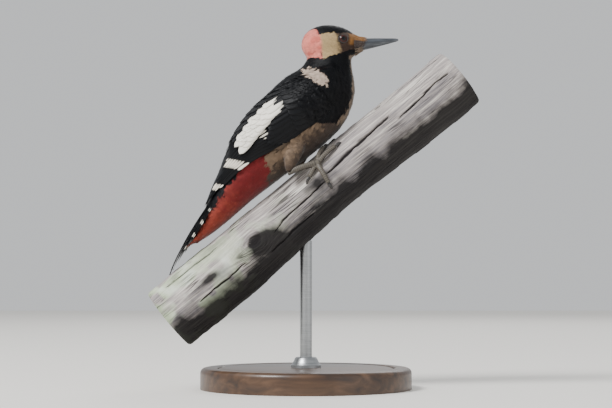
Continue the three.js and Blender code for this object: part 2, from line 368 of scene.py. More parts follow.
# Contour feathers: soft keratin, finely barbed. The eye sees broken streaks along each feather. The black
# ones are glossy and a little blue, the pale and red ones matt, with a bloom where the barbs stand up.
plumage = {}
for tone, shading in {"glossyBlackFeathers": {"Roughness": 0.42, "Specular IOR Level": 0.15},
                      "softPaleFeathers": {"Roughness": 0.72, "Specular IOR Level": 0.25, "Sheen Weight": 0.25,
                                           "Sheen Roughness": 0.5}}.items():
    plumage[tone], tree, shader = newMaterial(tone, **shading)
    lines = barbLines(tree)
    streak = maths(tree, "MULTIPLY_ADD", lines, 0.055, 0.72)
    light = maths(tree, "MULTIPLY_ADD", cellNoise(tree, 2.38, 3), 0.5, streak)
    dress(tree, shader, scaled(tree, valueOf(tree, "plumage", "Color"), light), lines, 0.25, 0.05)

# Flight feathers: stiffer vanes with a slight gloss. The white spots of their outer webs join into bars,
# each an oval round a whole number of the bar count and the outer edge of the web.
flightFeathers, tree, shader = newMaterial("flightFeathers", **{"Roughness": 0.42, "Specular IOR Level": 0.18})
lines = barbLines(tree, 0.6)
bar = valueOf(tree, "bar")
offBar = maths(tree, "MULTIPLY", maths(tree, "SUBTRACT", bar, maths(tree, "ROUND", bar)), 6.6)
offEdge = maths(tree, "MULTIPLY_ADD", valueOf(tree, "web"), 2.1, 1.1)
both = addNode(tree, "CombineXYZ", links={0: offBar, 1: offEdge})
away = addNode(tree, "VectorMath", {"operation": "LENGTH"}, {0: both})
ragged = maths(tree, "MULTIPLY_ADD", cellNoise(tree, 0.769, 2), 0.5, away.outputs["Value"])
barred = maths(tree, "GREATER_THAN", bar, -0.5)
inside = maths(tree, "MULTIPLY", ranged(tree, ragged, 1.35, 1.15), barred)
white = mixTo(tree, inside, valueOf(tree, "plumage", "Color"), "#efe8da")
streak = maths(tree, "MULTIPLY_ADD", lines, 0.08, 0.95)
dress(tree, shader, scaled(tree, white, streak), lines, 0.3, 0.08)

# Skin under the feathers: thin, dull and nearly hidden.
bareSkin, tree, shader = newMaterial("featheredSkin", **{"Roughness": 0.8})
bumps = cellNoise(tree, 1.11, 3)
darker = maths(tree, "MULTIPLY_ADD", bumps, 0.5, 0.6)
dress(tree, shader, scaled(tree, valueOf(tree, "plumage", "Color"), darker), bumps, 0.4, 0.2)

# Eye: a wet, clear dome over a dark red-brown iris and a black pupil.
eyeWet, tree, shader = newMaterial("wetEye", **{"Roughness": 0.3, "Specular IOR Level": 0.12, "IOR": 1.38,
                                                "Coat Weight": 0.4, "Coat Roughness": 0.02})
share = maths(tree, "DIVIDE", valueOf(tree, "fromPupil"), 3.7)
iris = ramp(tree, share, [(0.0, "#050505"), (0.36, "#070606"), (0.41, "#2c0f0a"), (0.58, "#3e160e"),
                          (0.68, "#240d09"), (0.78, "#100b09")])
wireUp(tree, iris, shader.inputs["Base Color"])

# Feet: horny scales, olive grey on their faces and darker in the seams.
footScales, tree, shader = newMaterial("greyFootScales", **{"Roughness": 0.55, "IOR": 1.5})
dust = cellNoise(tree, 1.11, 4)
shadow = maths(tree, "MULTIPLY_ADD", dust, 0.35, valueOf(tree, "sunk"))
tone = ramp(tree, shadow, [(0.1, "#625c52"), (0.55, "#504a42"), (0.92, "#302c28")])
dress(tree, shader, tone, dust, 0.4, 0.1)

# Finishes that one noise both tints and roughens: shading, the noise's cell in mm, lean in degrees, detail
# and distortion, the tints, and the relief's strength and depth.
finishes = {
    # bill sheath: horn with a dull polish, slate grey, with fine wear along it
    "slateBillHorn": ({"Roughness": 0.38, "Coat Weight": 0.15, "IOR": 1.54}, (14, 1.1, 1.1), -6, 5, 0,
                      [(0.3, "#26292e"), (0.55, "#41464d"), (0.75, "#6a6f74")], 0.25, 0.15),
    # eyelids: thin bare skin, dark grey and finely beaded
    "greyLidSkin": ({"Roughness": 0.6}, (0.4, 0.4, 0.4), 0, 3, 0, [(0.3, "#1c1a1a"), (0.7, "#3d3835")],
                    0.4, 0.1),
    # claws: polished dark horn
    "darkClawHorn": ({"Roughness": 0.32, "IOR": 1.54}, (1.43, 1.43, 1.43), 0, 4, 0,
                     [(0.3, "#1b1a1b"), (0.6, "#35312f"), (0.8, "#5b534c")], 0.2, 0.1),
    # plinth: dark stained beech, turned and waxed
    "stainedBeech": ({"Roughness": 0.4, "Coat Weight": 0.2}, (83.33, 6.25, 6.25), 0, 6, 0.6,
                     [(0.3, "#2c1e16"), (0.5, "#46301f"), (0.72, "#5e4430")], 0.15, 0.2),
    # rod and collar: steel brushed round its axis, with fine rings of scratches
    "brushedSteel": ({"Metallic": 1.0, "Roughness": 0.34}, (16.67, 16.67, 0.2), 0, 3, 0,
                     [(0.3, "#8d9092"), (0.7, "#b9bbbc")], 0.2, 0.05),
}
for name, (shading, cell, lean, detail, distortion, tints, strength, depth) in finishes.items():
    finishes[name], tree, shader = newMaterial(name, **shading)
    place = addNode(tree, "TexCoord").outputs["Object"]
    stretched = addNode(tree, "Mapping", {"vector_type": "TEXTURE", "Rotation": (0, math.radians(lean), 0),
                                          "Scale": [size * mm for size in cell]}, {"Vector": place})
    wear = addNode(tree, "TexNoise", {"Scale": 1.0, "Detail": detail, "Distortion": distortion},
                   {"Vector": stretched})
    dress(tree, shader, ramp(tree, wear, tints), wear, strength, depth)

# Barkless wood that has stood years in the weather: silver grey, with pale green lichen towards the low end.
# Beneath it is painted near black as painted shade, and its checks as painted shade in the cracks. Sawn ends have
# greyed and cracked along the rays.
weatheredWood, tree, shader = newMaterial("weatheredWood", **{"Roughness": 0.85, "Specular IOR Level": 0.25})
checks, grain, patches, sawn, upward, height = (valueOf(tree, name) for name in
                                                ("checks", "grain", "patches", "sawn", "up", "height"))
blotch = cellNoise(tree, 18.18, 5)
grainPlace = addNode(tree, "UVMap", {"uv_map": "Grain"})  # centimetres along and round the branch
fibrePlace = addNode(tree, "Mapping", {"Scale": (0.45, 9.0, 1)}, {"Vector": grainPlace})
fibre = addNode(tree, "TexNoise", {"Scale": 1.0, "Detail": 6.0, "Roughness": 0.62}, {"Vector": fibrePlace})
checkPlace = addNode(tree, "Mapping", {"Scale": (0.22, 4.2, 1)}, {"Vector": grainPlace})
checkNoise = addNode(tree, "TexNoise", {"Scale": 1.0, "Detail": 0.6}, {"Vector": checkPlace})
ridge = maths(tree, "ABSOLUTE", maths(tree, "SUBTRACT", checkNoise, 0.5))
thereabouts = ranged(tree, cellNoise(tree, 22.22, 0), 0.42, 0.6, 0.8)
hairChecks = maths(tree, "MULTIPLY", ranged(tree, ridge, 0.04, 0.012), thereabouts)
silver = ramp(tree, maths(tree, "MULTIPLY_ADD", grain, 0.6, fibre),
              [(0.35, "#4d4a4c"), (0.62, "#7f7a7c"), (0.85, "#a79f9b"), (1.0, "#cfcac2")])
lichen = ramp(tree, blotch, [(0.3, "#8b997c"), (0.5, "#b6c0a5"), (0.7, "#dde3d8")])
crusted = mixTo(tree, maths(tree, "MULTIPLY", ranged(tree, height, 0.55, 0.1), patches), silver, lichen)
# painted shade: the underside and the dark patches go near black
paintedShade = ranged(tree, maths(tree, "MULTIPLY_ADD", blotch, -1.1, upward), -0.6, -1.0, 0.96)
shadedBelow = mixTo(tree, paintedShade, crusted, "#161415")
# painted shade: the checks and hairline checks go near black
cracked = mixTo(tree, maths(tree, "MAXIMUM", checks, hairChecks), shadedBelow, "#1a1718")
endGrain = ramp(tree, maths(tree, "MULTIPLY_ADD", grain, 0.45, blotch),
                [(0.35, "#5f554a"), (0.6, "#8d8170"), (0.85, "#a89c88")])
# painted shade in the sawn ends' radial cracks
endCracked = mixTo(tree, maths(tree, "MULTIPLY", checks, 0.9), endGrain, "#26211e")
depth = maths(tree, "MULTIPLY_ADD", hairChecks, -1.2, fibre)
dress(tree, shader, mixTo(tree, sawn, cracked, endCracked), depth, 0.7, 0.5)


# The skin is one surface for head, neck, trunk, rump, thighs and the folded wings' upper arms. The wings
# are cut off behind s = wingCut. Sizes are in mm. It is darker than the feathers over it.
flesh = {"swell": 0.2, "voxel": 0.8, "smoothing": 28, "wingCut": 104, "dark": 0.55}
fleshNodes = ["head", "neck", "trunk", "tail_coverts", "thigh_right", "thigh_left"]

wingShells = copyOf(["wing_right", "wing_left"], "wingShells")
bpy.ops.object.mode_set(mode="EDIT")
bpy.ops.mesh.select_all(action="SELECT")
bpy.ops.mesh.bisect(plane_co=fromBird((flesh["wingCut"], 0, 10))[0], clear_inner=True, use_fill=True,
                    plane_no=turned((1, 0, 0), birdFrame["slope"])[0])
skin = copyOf(fleshNodes + ["eye_right", "eye_left"], "skin")
selectOnly(skin, wingShells)
bpy.ops.object.join()
applyModifier(skin, "DISPLACE", strength=flesh["swell"] * mm, mid_level=0)
applyModifier(skin, "REMESH", mode="VOXEL", voxel_size=flesh["voxel"] * mm, use_smooth_shade=True)
applyModifier(skin, "SMOOTH", factor=0.5, iterations=flesh["smoothing"])


# The solids' points in the bird's frame, their triangles and which node each triangle is of.
def gather(names):
    points, faces, owners, start = [], [], [], 0
    for index, name in enumerate(names):
        mesh = nodes[name].data
        mesh.calc_loop_triangles()
        points.append(toBird(pointsOf(mesh)))
        faces.append(readInts(mesh.loop_triangles, "vertices", 3) + start)
        owners.append(np.full(len(faces[-1]), index))
        start += len(mesh.vertices)
    return np.concatenate(points), np.concatenate(faces), np.concatenate(owners)


def treeOf(points, faces):
    return BVHTree.FromPolygons(points.tolist(), faces.tolist())


def nearest(tree, points):
    hits = [tree.find_nearest(point) for point in points.tolist()]
    return np.array([hit[0] for hit in hits]), np.array([hit[2] for hit in hits])


coatNodes = fleshNodes + ["wing_right", "wing_left"]
solidPoints, solidFaces, solidOwners = gather(coatNodes)
solidTree = treeOf(solidPoints, solidFaces)
outline = toBird(pointsOf(skin.data))
normals = normalsOf(skin.data)
skinFaces = readInts(skin.data.polygons, "vertices", 4)
skinEdges = readInts(skin.data.edges, "vertices", 2)
owner = solidOwners[nearest(solidTree, outline)[1]]
isPart = {name: owner == index for index, name in enumerate(coatNodes)}


# Averages values over neighbouring skin points, many times.
def spread(values, times):
    a, b = skinEdges.T
    count = len(outline)
    share = 1 + np.bincount(a, minlength=count) + np.bincount(b, minlength=count)
    columns = values.reshape(count, -1).astype(float)
    for _ in range(times):
        columns = np.stack([(c + np.bincount(a, c[b], count) + np.bincount(b, c[a], count)) / share
                            for c in columns.T], 1)
    return columns.reshape(values.shape)


spineSteps = np.linspace(-6, 218, 450)  # every half millimetre
spineHeights = np.interp(spineSteps, *np.transpose(spine))
spineHeights = np.convolve(np.pad(spineHeights, 8, "edge"), np.ones(17) / 17, "valid")


def middleAt(s):
    return np.interp(s, spineSteps, spineHeights)


# The angle round the middle line of the body: 0 at the side, 90 on the back.
def roundBody(points):
    s, y, z = points.T
    return np.degrees(np.arctan2(z - middleAt(s), np.abs(y)))


# The eye in the head's frame, and its socket: reach, depth, the radii between which its wall rises, and
# those from which feathers grow behind the eye and before it.
eyeAt = {"along": 6.4, "across": 7.5, "up": 4.4, "radius": 3.7}
socket = {"reach": 4.6, "depth": 2.6, "floor": 2.2, "rim": 3.1, "lids": (2.85, 3.2)}
around = roundBody(outline)
alongHead, acrossHead, upHead = toHead(outline).T
onHead, onNeck = isPart["head"], isPart["neck"]
onThigh = isPart["thigh_right"] | isPart["thigh_left"]
onWing = isPart["wing_right"] | isPart["wing_left"]

# What the plumage is like, region by region, in mm: depth over the skin, spacing, length, half width.
# Later rules overrule earlier ones, and all of them blend where they meet.
coat = {
    "face": (0.5, 0.45, 2.3, 0.36),
    "crown": (0.7, 0.62, 3.8, 0.55),
    "nape": (0.95, 0.72, 4.9, 0.66),
    "neck": (1.1, 1.0, 6.6, 1.05),
    "mantle": (1.2, 1.6, 9.5, 2.1),
    "rump": (1.3, 1.7, 10.5, 2.3),
    "breast": (1.3, 1.2, 9.0, 1.5),
    "belly": (1.5, 1.35, 11.0, 1.75),
    "vent": (1.3, 1.4, 11.0, 1.8),
    "thigh": (0.85, 0.9, 4.7, 0.9),
    "wing": (3.0, 2.0, 8.0, 2.2),
}
# Where they meet: degrees round the body, mm along it, and mm up from or along the head's middle.
borders = {"side": 5, "breast": 146, "vent": 96, "rump": 78, "neck": 156, "crown": 8.5, "nape": -8,
           "tail": 30, "shoulder": 142, "undertail": 100, "bill": 17.3}
fit = np.tile(np.array(coat["mantle"]), (len(outline), 1))
below, along = around < borders["side"], outline[:, 0]
fit[below] = coat["belly"]
fit[below & (along > borders["breast"])] = coat["breast"]
fit[below & (along < borders["vent"])] = coat["vent"]
fit[(around > borders["side"]) & (along < borders["rump"])] = coat["rump"]
fit[onWing] = coat["wing"]
fit[onNeck | (onWing & (along > borders["neck"]))] = coat["neck"]
fit[onHead] = coat["face"]
fit[onHead & (upHead > borders["crown"])] = coat["crown"]
fit[onHead & (alongHead < borders["nape"])] = coat["nape"]
fit[onThigh] = coat["thigh"]
fit = spread(fit, 14)
skinPoints = outline - normals * fit[:, :1]
toEye = np.hypot(alongHead - eyeAt["along"], upHead - eyeAt["up"])
for sign in sides.values():
    middle = fromHead((eyeAt["along"], sign * eyeAt["across"], eyeAt["up"]))[0]
    inner = (np.linalg.norm(outline - middle, axis=1) < socket["reach"]) & (np.sign(outline[:, 1]) == sign)
    push = socket["depth"] * (1 - smoothStep(socket["floor"], socket["rim"], toEye)) * inner
    skinPoints = skinPoints - (0, sign, 0) * push[:, None]
setPoints(skin.data, fromBird(skinPoints))
skinNormals = normalsOf(skin.data)
skinTree = treeOf(skinPoints, skinFaces)

# The lie of the plumage: back along the body from the bill, and down the thighs to the heel.
spineTree = KDTree(len(spineSteps))
for index, (s, z) in enumerate(zip(spineSteps, spineHeights)):
    spineTree.insert((s, 0, z), index)
spineTree.balance()
spineWays = unit(np.stack([-np.gradient(spineSteps), 0 * spineSteps, -np.gradient(spineHeights)], 1))
lie = spineWays[[spineTree.find(point)[1] for point in skinPoints.tolist()]]
headBack = np.stack([-np.ones(len(outline)), 0 * upHead, -0.12 - 0.9 * smoothStep(2, 10, -upHead)], 1)
lie[onHead] = unit(turned(headBack, -headFrame["pitch"]))[onHead]
for side, sign in sides.items():
    lie[isPart["thigh_" + side]] = unit(np.array([-0.71, 0.3 * sign, -0.64]))
for _ in range(4):
    lie = spread(lie, 6)
    lie = unit(lie - skinNormals * np.sum(lie * skinNormals, 1, keepdims=True))
print("skin:", len(skinPoints), "points")


# Feather colours: black, white, the brown of the underparts, and the male's red nape and vent. The buff brown of
# the sides and front is darkened as painted shade, and the belly, darkest, is painted shade under the body.
# the cheek's buff is its own cream darkened as painted shade
feathers = {"black": "#090a0e", "white": "#f6f1e6", "cheek": "#ab9269", "forehead": "#93632b",
            # the vent's dark crimson is its red as painted shade; the orange red after it is the same red as
            # painted light
            "flank": "#7b6652", "belly": "#3f3229", "shadedThroat": "#7c6956", "red": "#6e1316", "litRed": "#8c3526",
            # the nape's salmon pink is its red paled as a painted highlight; the neck patch's grey brown is its
            # white as painted shade
            "nape": "#dd8071", "napeDeep": "#c25045", "shadedNeckPatch": "#b8a595", "lores": "#3a271c"}
markings = {
    "crownEdge": [[-14, 8.6], [-10, 8.8], [-4, 9.2], [6.4, 8.6], [13, 7.9]],  # black cap's lower edge
    "malarTop": -2.2, "malarSlope": 0.3, "malarDepth": 3.2, "cheek": (-8.2, 2.8), "lores": 10.6,
    # blackAbove: the black's lower edge round the body; towards the breast front it reaches far down, partly the
    # real black breast side and partly painted shade
    "blackAbove": [[0, 10], [60, 8], [90, -5], [118, -6], [130, -15], [138, -38], [147, -60], [160, -72],
                   [180, -74]],  # s, angle round the body
    # belly: the angle below which the underside is painted dark brown, as painted shade under the body
    "belly": -40, "redFrom": 98, "redSlope": 0.12,
}


# The plumage's colour at points of the skin, painted from the belly up. Distances are in mm.
def markingsAt(points):
    s, y, z = points.T
    hx, hy, hz = toHead(points).T
    side, turn = np.abs(hy), roundBody(points)
    ragged = noise(s / 1.7 + 30, (y + 60) / 1.7, 400, 31) - 0.8
    ragged += 0.6 * noise(z / 1.3 + 90, (s + 30) / 1.3, 400, 32)
    colours = np.tile(linear(feathers["flank"]), (len(points), 1))

    def paint(share, name):  # a share from 0 to 1, so that some edges are soft
        share = np.asarray(share, float)[:, None]
        colours[:] = colours * (1 - share) + linear(feathers[name]) * share

    # painted shade: the underside goes dark brown, the front below the bill takes a brown darkened as painted
    # shade, and the black runs far round the breast front
    paint(smoothStep(10, -14, turn - markings["belly"] + 16 * ragged), "belly")
    paint((s > 150) & (turn < 0), "shadedThroat")
    paint(turn + 7 * ragged > np.interp(s, *np.transpose(markings["blackAbove"])), "black")
    vent = (s < markings["redFrom"] + markings["redSlope"] * turn + 4 * ragged) & (turn < 10)
    paint(vent, "red")
    # painted light: towards the tail's end the red turns to its lighter orange copy
    paint(vent * smoothStep(80, 40, s + 14 * ragged), "litRed")
    head = (hz > -9) & (s > 158)
    # the chin and lower face in the front's brown, darkened as painted shade
    paint(head, "shadedThroat")
    rear, front = markings["cheek"]
    malarTop = markings["malarTop"] - markings["malarSlope"] * (12.5 - hx)
    paint(head & ((hz > malarTop - markings["malarDepth"]) | ((side > 4.5) & (hx < 9))), "black")
    crownEdge = np.interp(hx, *np.transpose(markings["crownEdge"]))
    face = head & (hz + 0.8 * ragged > malarTop)
    # the cheek in a buff darkened as painted shade
    paint(face & (hx > rear), "cheek")
    paint(face * smoothStep(front - 1.6, front + 1.6, hx + 0.12 * (hz - 3) + 1.6 * ragged), "lores")
    nape = (hx > -22) & (hz > -7.5 + 0.25 * (-8 - hx) + 1.2 * ragged) & (hz < 13) & (side < 12.5)
    # painted highlight: the red nape in a pale salmon pink
    paint(nape * smoothStep(rear + 1.2, rear - 1.4, hx + 1.5 * ragged), "nape")
    deeper = smoothStep(0.45, 0.75, noise(hz / 2.2 + 40, (y + 60) / 2.2, 400, 33))
    paint(nape * (hx < rear) * deeper * 0.5, "napeDeep")
    gold = smoothStep(markings["lores"] - 1.2, markings["lores"] + 1.2, hx + 1.4 * ragged)
    paint(head * gold * smoothStep(-0.5, 1.5, hz), "forehead")
    paint(head & (hz + 0.7 * ragged > crownEdge) & (hx > -9.5 + ragged) & (hx < 13.5), "black")
    # the white neck patch in a grey brown, as painted shade
    patch = np.hypot((s - 156.6 + 0.26 * (z - 38.5)) / 4.2, (z - 38.5) / 9.5) + 0.3 * ragged
    paint((patch < 1) & (side > 4), "shadedNeckPatch")
    return colours


setValues(skin.data, "plumage", spread(markingsAt(skinPoints), 2) * flesh["dark"])


# A small feather: its rows of points, their widths, how it curves across, stands loose, frays at the tip and
# turns aside in degrees, its patch of the bake, and how many roots are thrown.
vane = {"rows": [0, 0.36, 0.7, 1.0], "widths": [0.35, 0.95, 1.0, 0.86], "columns": 7, "camber": 0.05,
        "loose": 0.09, "fray": 0.17, "curve": 0.22, "foot": 0.12, "turn": 6, "patch": 0.003, "rootShade": 0.62,
        "paleOver": 0.012, "darts": 170000, "fewDarts": 90000}


# Roots are darts thrown on the skin, kept where none lies closer than the spacing there.
def throwRoots(allowed, darts):
    corners = skinPoints[skinFaces]
    areas = 0.5 * np.linalg.norm(np.cross(corners[:, 2] - corners[:, 0], corners[:, 3] - corners[:, 1]), axis=1)
    areas *= allowed[skinFaces].all(1)
    weight = areas / fit[skinFaces[:, 0], 1] ** 2
    picks = chance.choice(len(skinFaces), darts, p=weight / weight.sum())
    a, b = chance.random((2, darts, 1))
    c = corners[picks]
    points = (c[:, 0] * (1 - a) + c[:, 1] * a) * (1 - b) + (c[:, 3] * (1 - a) + c[:, 2] * a) * b
    spacing = fit[skinFaces[picks, 0], 1]
    tree = KDTree(darts)
    for index, point in enumerate(points.tolist()):
        tree.insert(point, index)
    tree.balance()
    free, kept = np.ones(darts, bool), []
    for index, point in enumerate(points.tolist()):
        if free[index]:
            kept.append(index)
            for _, other, _ in tree.find_range(point, spacing[index]):
                free[other] = False
    return points[kept], picks[kept]


def overSkin(points):
    places, faces = nearest(skinTree, points)
    corners = skinFaces[faces]
    return places, unit(skinNormals[corners].mean(1)), corners[:, 0]


# Lays one vane per root along the lie of the coat. Returns, feather by feather, points, colours, places on
# the vane in cm, shares across and along it, and the skin's normals under it.
def layVanes(roots, vertices, colours):
    count = len(roots)
    length, width = fit[vertices, 2:].T
    length = length * (1 + 0.12 * chance.standard_normal(count).clip(-2, 2))
    width = width * (1 + 0.08 * chance.standard_normal(count).clip(-2, 2))
    turn = np.radians(vane["turn"]) * chance.standard_normal(count)
    place, normal, vertex = overSkin(roots)
    lines = []
    for row, t in enumerate(vane["rows"]):
        way = lie[vertex]
        across = unit(np.cross(normal, way))
        way = unit(way + across * np.tan(turn)[:, None])
        across = unit(np.cross(normal, way))
        lines.append((place, way, across))
        if row + 1 < len(vane["rows"]):
            step = (vane["rows"][row + 1] - t) * length
            place, normal, vertex = overSkin(place + way * step[:, None])
    spots, columns = [], np.linspace(-1, 1, vane["columns"])
    for row, t in enumerate(vane["rows"]):
        place, way, across = lines[row]
        last = row + 1 == len(vane["rows"])
        for u in (columns[1:] + columns[:-1]) / 2 if last else columns:
            back = vane["curve"] * u * u + vane["fray"] * chance.random(count) if last else 0
            back = back * length
            spot = place + across * (u * width * vane["widths"][row])[:, None] - way * back[:, None]
            ground, up, vertex = overSkin(spot)
            rise = vane["foot"] + (fit[vertex, 0] - vane["foot"]) * t ** 0.85
            rise += vane["camber"] * width * (1 - u * u) * min(1, 3 * t)
            rise += vane["loose"] * fit[vertex, 0] * chance.random(count) * t
            spots.append((ground + up * rise[:, None], np.full(count, u), np.full(count, t), up))
    points, us, ts, ups = (np.stack(each, 1) for each in zip(*spots))
    shade = vane["rootShade"] + (1 - vane["rootShade"]) * smoothStep(0.0, 0.6, ts)
    shade = shade * (1 + 0.05 * chance.standard_normal((count, 1)))
    tint = colours[:, None, :] * shade[:, :, None]
    barbs = np.stack([us * width[:, None], ts * length[:, None]], 2) * 0.1
    return points, tint, barbs, us, ts, ups


def vaneFaces():
    columns, full = vane["columns"], len(vane["rows"]) - 1
    quads = [(r * columns + c, (r + 1) * columns + c, (r + 1) * columns + c + 1, r * columns + c + 1)
             for r in range(full - 1) for c in range(columns - 1)]
    start = (full - 1) * columns
    tips = [(start + c, full * columns + c, start + c + 1) for c in range(columns - 1)]
    return np.array(quads), np.array(tips)


# Each feather's patch of the bake sits where its root lies on the unwrapped skin.
def unwrapped(roots):
    s, y, z = roots.T
    angle = np.degrees(np.arctan2(y, z - middleAt(s)))
    return np.stack([0.02 + 0.96 * (s + 10) / 240, 0.02 + 0.96 * (angle + 180) / 360], 1)


def coatPiece(name, chosen):
    points, tint, barbs, us, ts, ups = (each[chosen] for each in coatData)
    quads, tips = vaneFaces()
    starts = (np.arange(len(points)) * points.shape[1])[:, None, None]
    homes = unwrapped(coatRoots[chosen])[:, None, :]
    homes = homes + vane["patch"] * np.stack([us / 2, ts - 0.5], 2)
    piece = meshPiece(name, fromBird(points.reshape(-1, 3)), (quads + starts).reshape(-1, 4),
                      (tips + starts).reshape(-1, 3), {"plumage": tint.reshape(-1, 3)},
                      {"OFBake": homes.reshape(-1, 2), "Barbs": barbs.reshape(-1, 2)})
    # the light falls mostly as on the body's own curve, or the coat looks like gravel
    normals = pointsOf(piece.data, "normal") * 0.25 + turned(ups, birdFrame["slope"]) * 0.75
    piece.data.normals_split_custom_set_from_vertices(unit(normals).tolist())
    piece.data.materials.append(plumage["glossyBlackFeathers"])
    settle(piece, plumage["softPaleFeathers"])
    pale = tint[:, 0].mean(1) > vane["paleOver"]
    tones = np.concatenate([np.repeat(pale, len(quads)), np.repeat(pale, len(tips))])
    piece.data.polygons.foreach_set("material_index", tones.astype(np.int32))
    print(name + ":", len(points), "feathers")


settle(skin, bareSkin, fleshNodes)

# The folded wings carry their own feathers, so the small ones reach only a little way under their edges.
underWing = spread(onWing.astype(float), 8)
lidEdge = np.where(alongHead < eyeAt["along"], *socket["lids"])
bare = onHead & ((toEye < lidEdge) & (np.abs(acrossHead) > 4) | (alongHead > borders["bill"]))
covered = (underWing < 0.75) | (outline[:, 0] > borders["shoulder"])
covered = covered & ~bare & (outline[:, 0] > borders["tail"])
coatRoots, coatFaces = throwRoots(covered, vane["darts"])
coatHomes = skinFaces[coatFaces][:, 0]
ahead = coatRoots + lie[coatHomes] * (0.65 * fit[coatHomes, 2])[:, None]
coatData = layVanes(coatRoots, coatHomes, markingsAt(overSkin(ahead)[0]))
rest = ~(onHead | onNeck | onThigh)[coatHomes]
below, behind = around[coatHomes] < borders["side"], coatRoots[:, 0] < borders["undertail"]
regions = {
    "coatHead": (onHead[coatHomes], "plumage_black"),
    "coatNeck": (onNeck[coatHomes], "plumage_black"),
    "coatThighs": (onThigh[coatHomes], "plumage_buff"),
    "coatUndertail": (rest & below & behind, "plumage_red"),
    "coatBelly": (rest & below & ~behind, "plumage_buff"),
    "coatBack": (rest & ~below, "plumage_black"),
}
for name, (chosen, slot) in regions.items():
    coatPiece(name, chosen)


# Where the folded wing lies round the body: [s, lower edge, upper edge], in degrees.
wingEdges = [[30, 60, 76], [44, 56, 76], [58, 30, 82], [76, 1, 81], [93, -16, 78], [112, -22, 70],
             [132, -26, 58], [150, -40, 44], [164, -37, 23], [172, -30, 10]]

# The feathers lie on a smooth guide: the solid wing's distance from the middle line, read at steps along
# the body and round it. Beyond the wing's upper edge it follows the back, and elsewhere it is filled in.
guide = {"along": (36, 177, 2.0), "round": (-60, 93, 4.0), "ray": 70, "backMargin": 9, "backFrom": 118,
         "fills": 400, "smoothings": 3}
guidePoints, guideFaces, guideOwners = gather(["trunk", "neck", "tail_coverts", "wing_right", "wing_left"])
guideTree = treeOf(guidePoints, guideFaces)
guideS, guideTurn = np.arange(*guide["along"]), np.arange(*guide["round"])
reach, known = np.zeros((len(guideS), len(guideTurn))), np.zeros((len(guideS), len(guideTurn)), bool)
for i, s in enumerate(guideS):
    middle = middleAt(s)
    upperEdge = readOff(wingEdges, s)[1]
    onBack = (guideTurn > upperEdge + guide["backMargin"]) & (s > guide["backFrom"])
    for j, turn in enumerate(np.radians(guideTurn)):
        way = Vector((0, -math.cos(turn), math.sin(turn)))
        hit = guideTree.ray_cast(Vector((s, -0.2, middle)) + way * guide["ray"], -way)
        if hit[0] is not None and (guideOwners[hit[2]] > 2 or onBack[j]):
            reach[i, j], known[i, j] = guide["ray"] - hit[3], True
reach[~known] = reach[known].mean()


def evened(grid):
    padded = np.pad(grid, 1, "edge")
    return (padded[:-2, 1:-1] + padded[2:, 1:-1] + padded[1:-1, :-2] + padded[1:-1, 2:]) / 4


for _ in range(guide["fills"]):
    reach = np.where(known, reach, evened(reach))
for _ in range(guide["smoothings"]):
    reach = (reach + evened(reach)) / 2


# A point of the left wing's smooth outer face, from its place along the body and its angle round it.
def wingPoint(s, turn):
    i = np.clip((s - guideS[0]) / guide["along"][2], 0, len(guideS) - 1.001)
    j = np.clip((turn - guideTurn[0]) / guide["round"][2], 0, len(guideTurn) - 1.001)
    i0, j0 = i.astype(int), j.astype(int)
    a, b = i - i0, j - j0
    low = reach[i0, j0] * (1 - b) + reach[i0, j0 + 1] * b
    high = reach[i0 + 1, j0] * (1 - b) + reach[i0 + 1, j0 + 1] * b
    radius, angle = low * (1 - a) + high * a, np.radians(turn)
    return np.stack([s, radius * np.cos(angle), middleAt(s) + radius * np.sin(angle)], -1)


def wingPlace(points):
    s, y, z = np.moveaxis(points, -1, 0)
    return s, np.degrees(np.arctan2(z - middleAt(s), y))


# The tail's upper face: s, height of its middle, and how far its sides droop 13 mm out.
tailTop = [[-3, -0.45, 0], [-1.5, -0.05, 0], [1, 1.25, 0.3], [4, 3.2, 0.8], [12, 7.3, 2.0], [24, 12.5, 3.2],
           [38, 17.3, 3.4], [52, 21.4, 2.6], [66, 24.0, 1.6]]


def tailPoint(s, across):
    middle, arch = readOff(tailTop, s)
    return np.stack([s, -across, middle - arch * (across / 13.0) ** 2], -1)


def tailPlace(points):
    return points[..., 0], -points[..., 1]


# Rows and columns of points of a large feather, and in mm its thickness and its shaft's height.
quill = {"rows": [0, 0.08, 0.18, 0.28, 0.38, 0.48, 0.58, 0.67, 0.75, 0.82, 0.88, 0.93, 0.97, 1.0],
         "columns": [-1, -0.7, -0.4, -0.08, 0, 0.08, 0.4, 0.7, 1], "thick": 0.24, "shaft": 0.16}
covert = {"rows": [0, 0.3, 0.55, 0.75, 0.9, 1.0], "columns": [-1, -0.5, 0, 0.5, 1], "thick": 0.2,
          "shaft": 0.06}


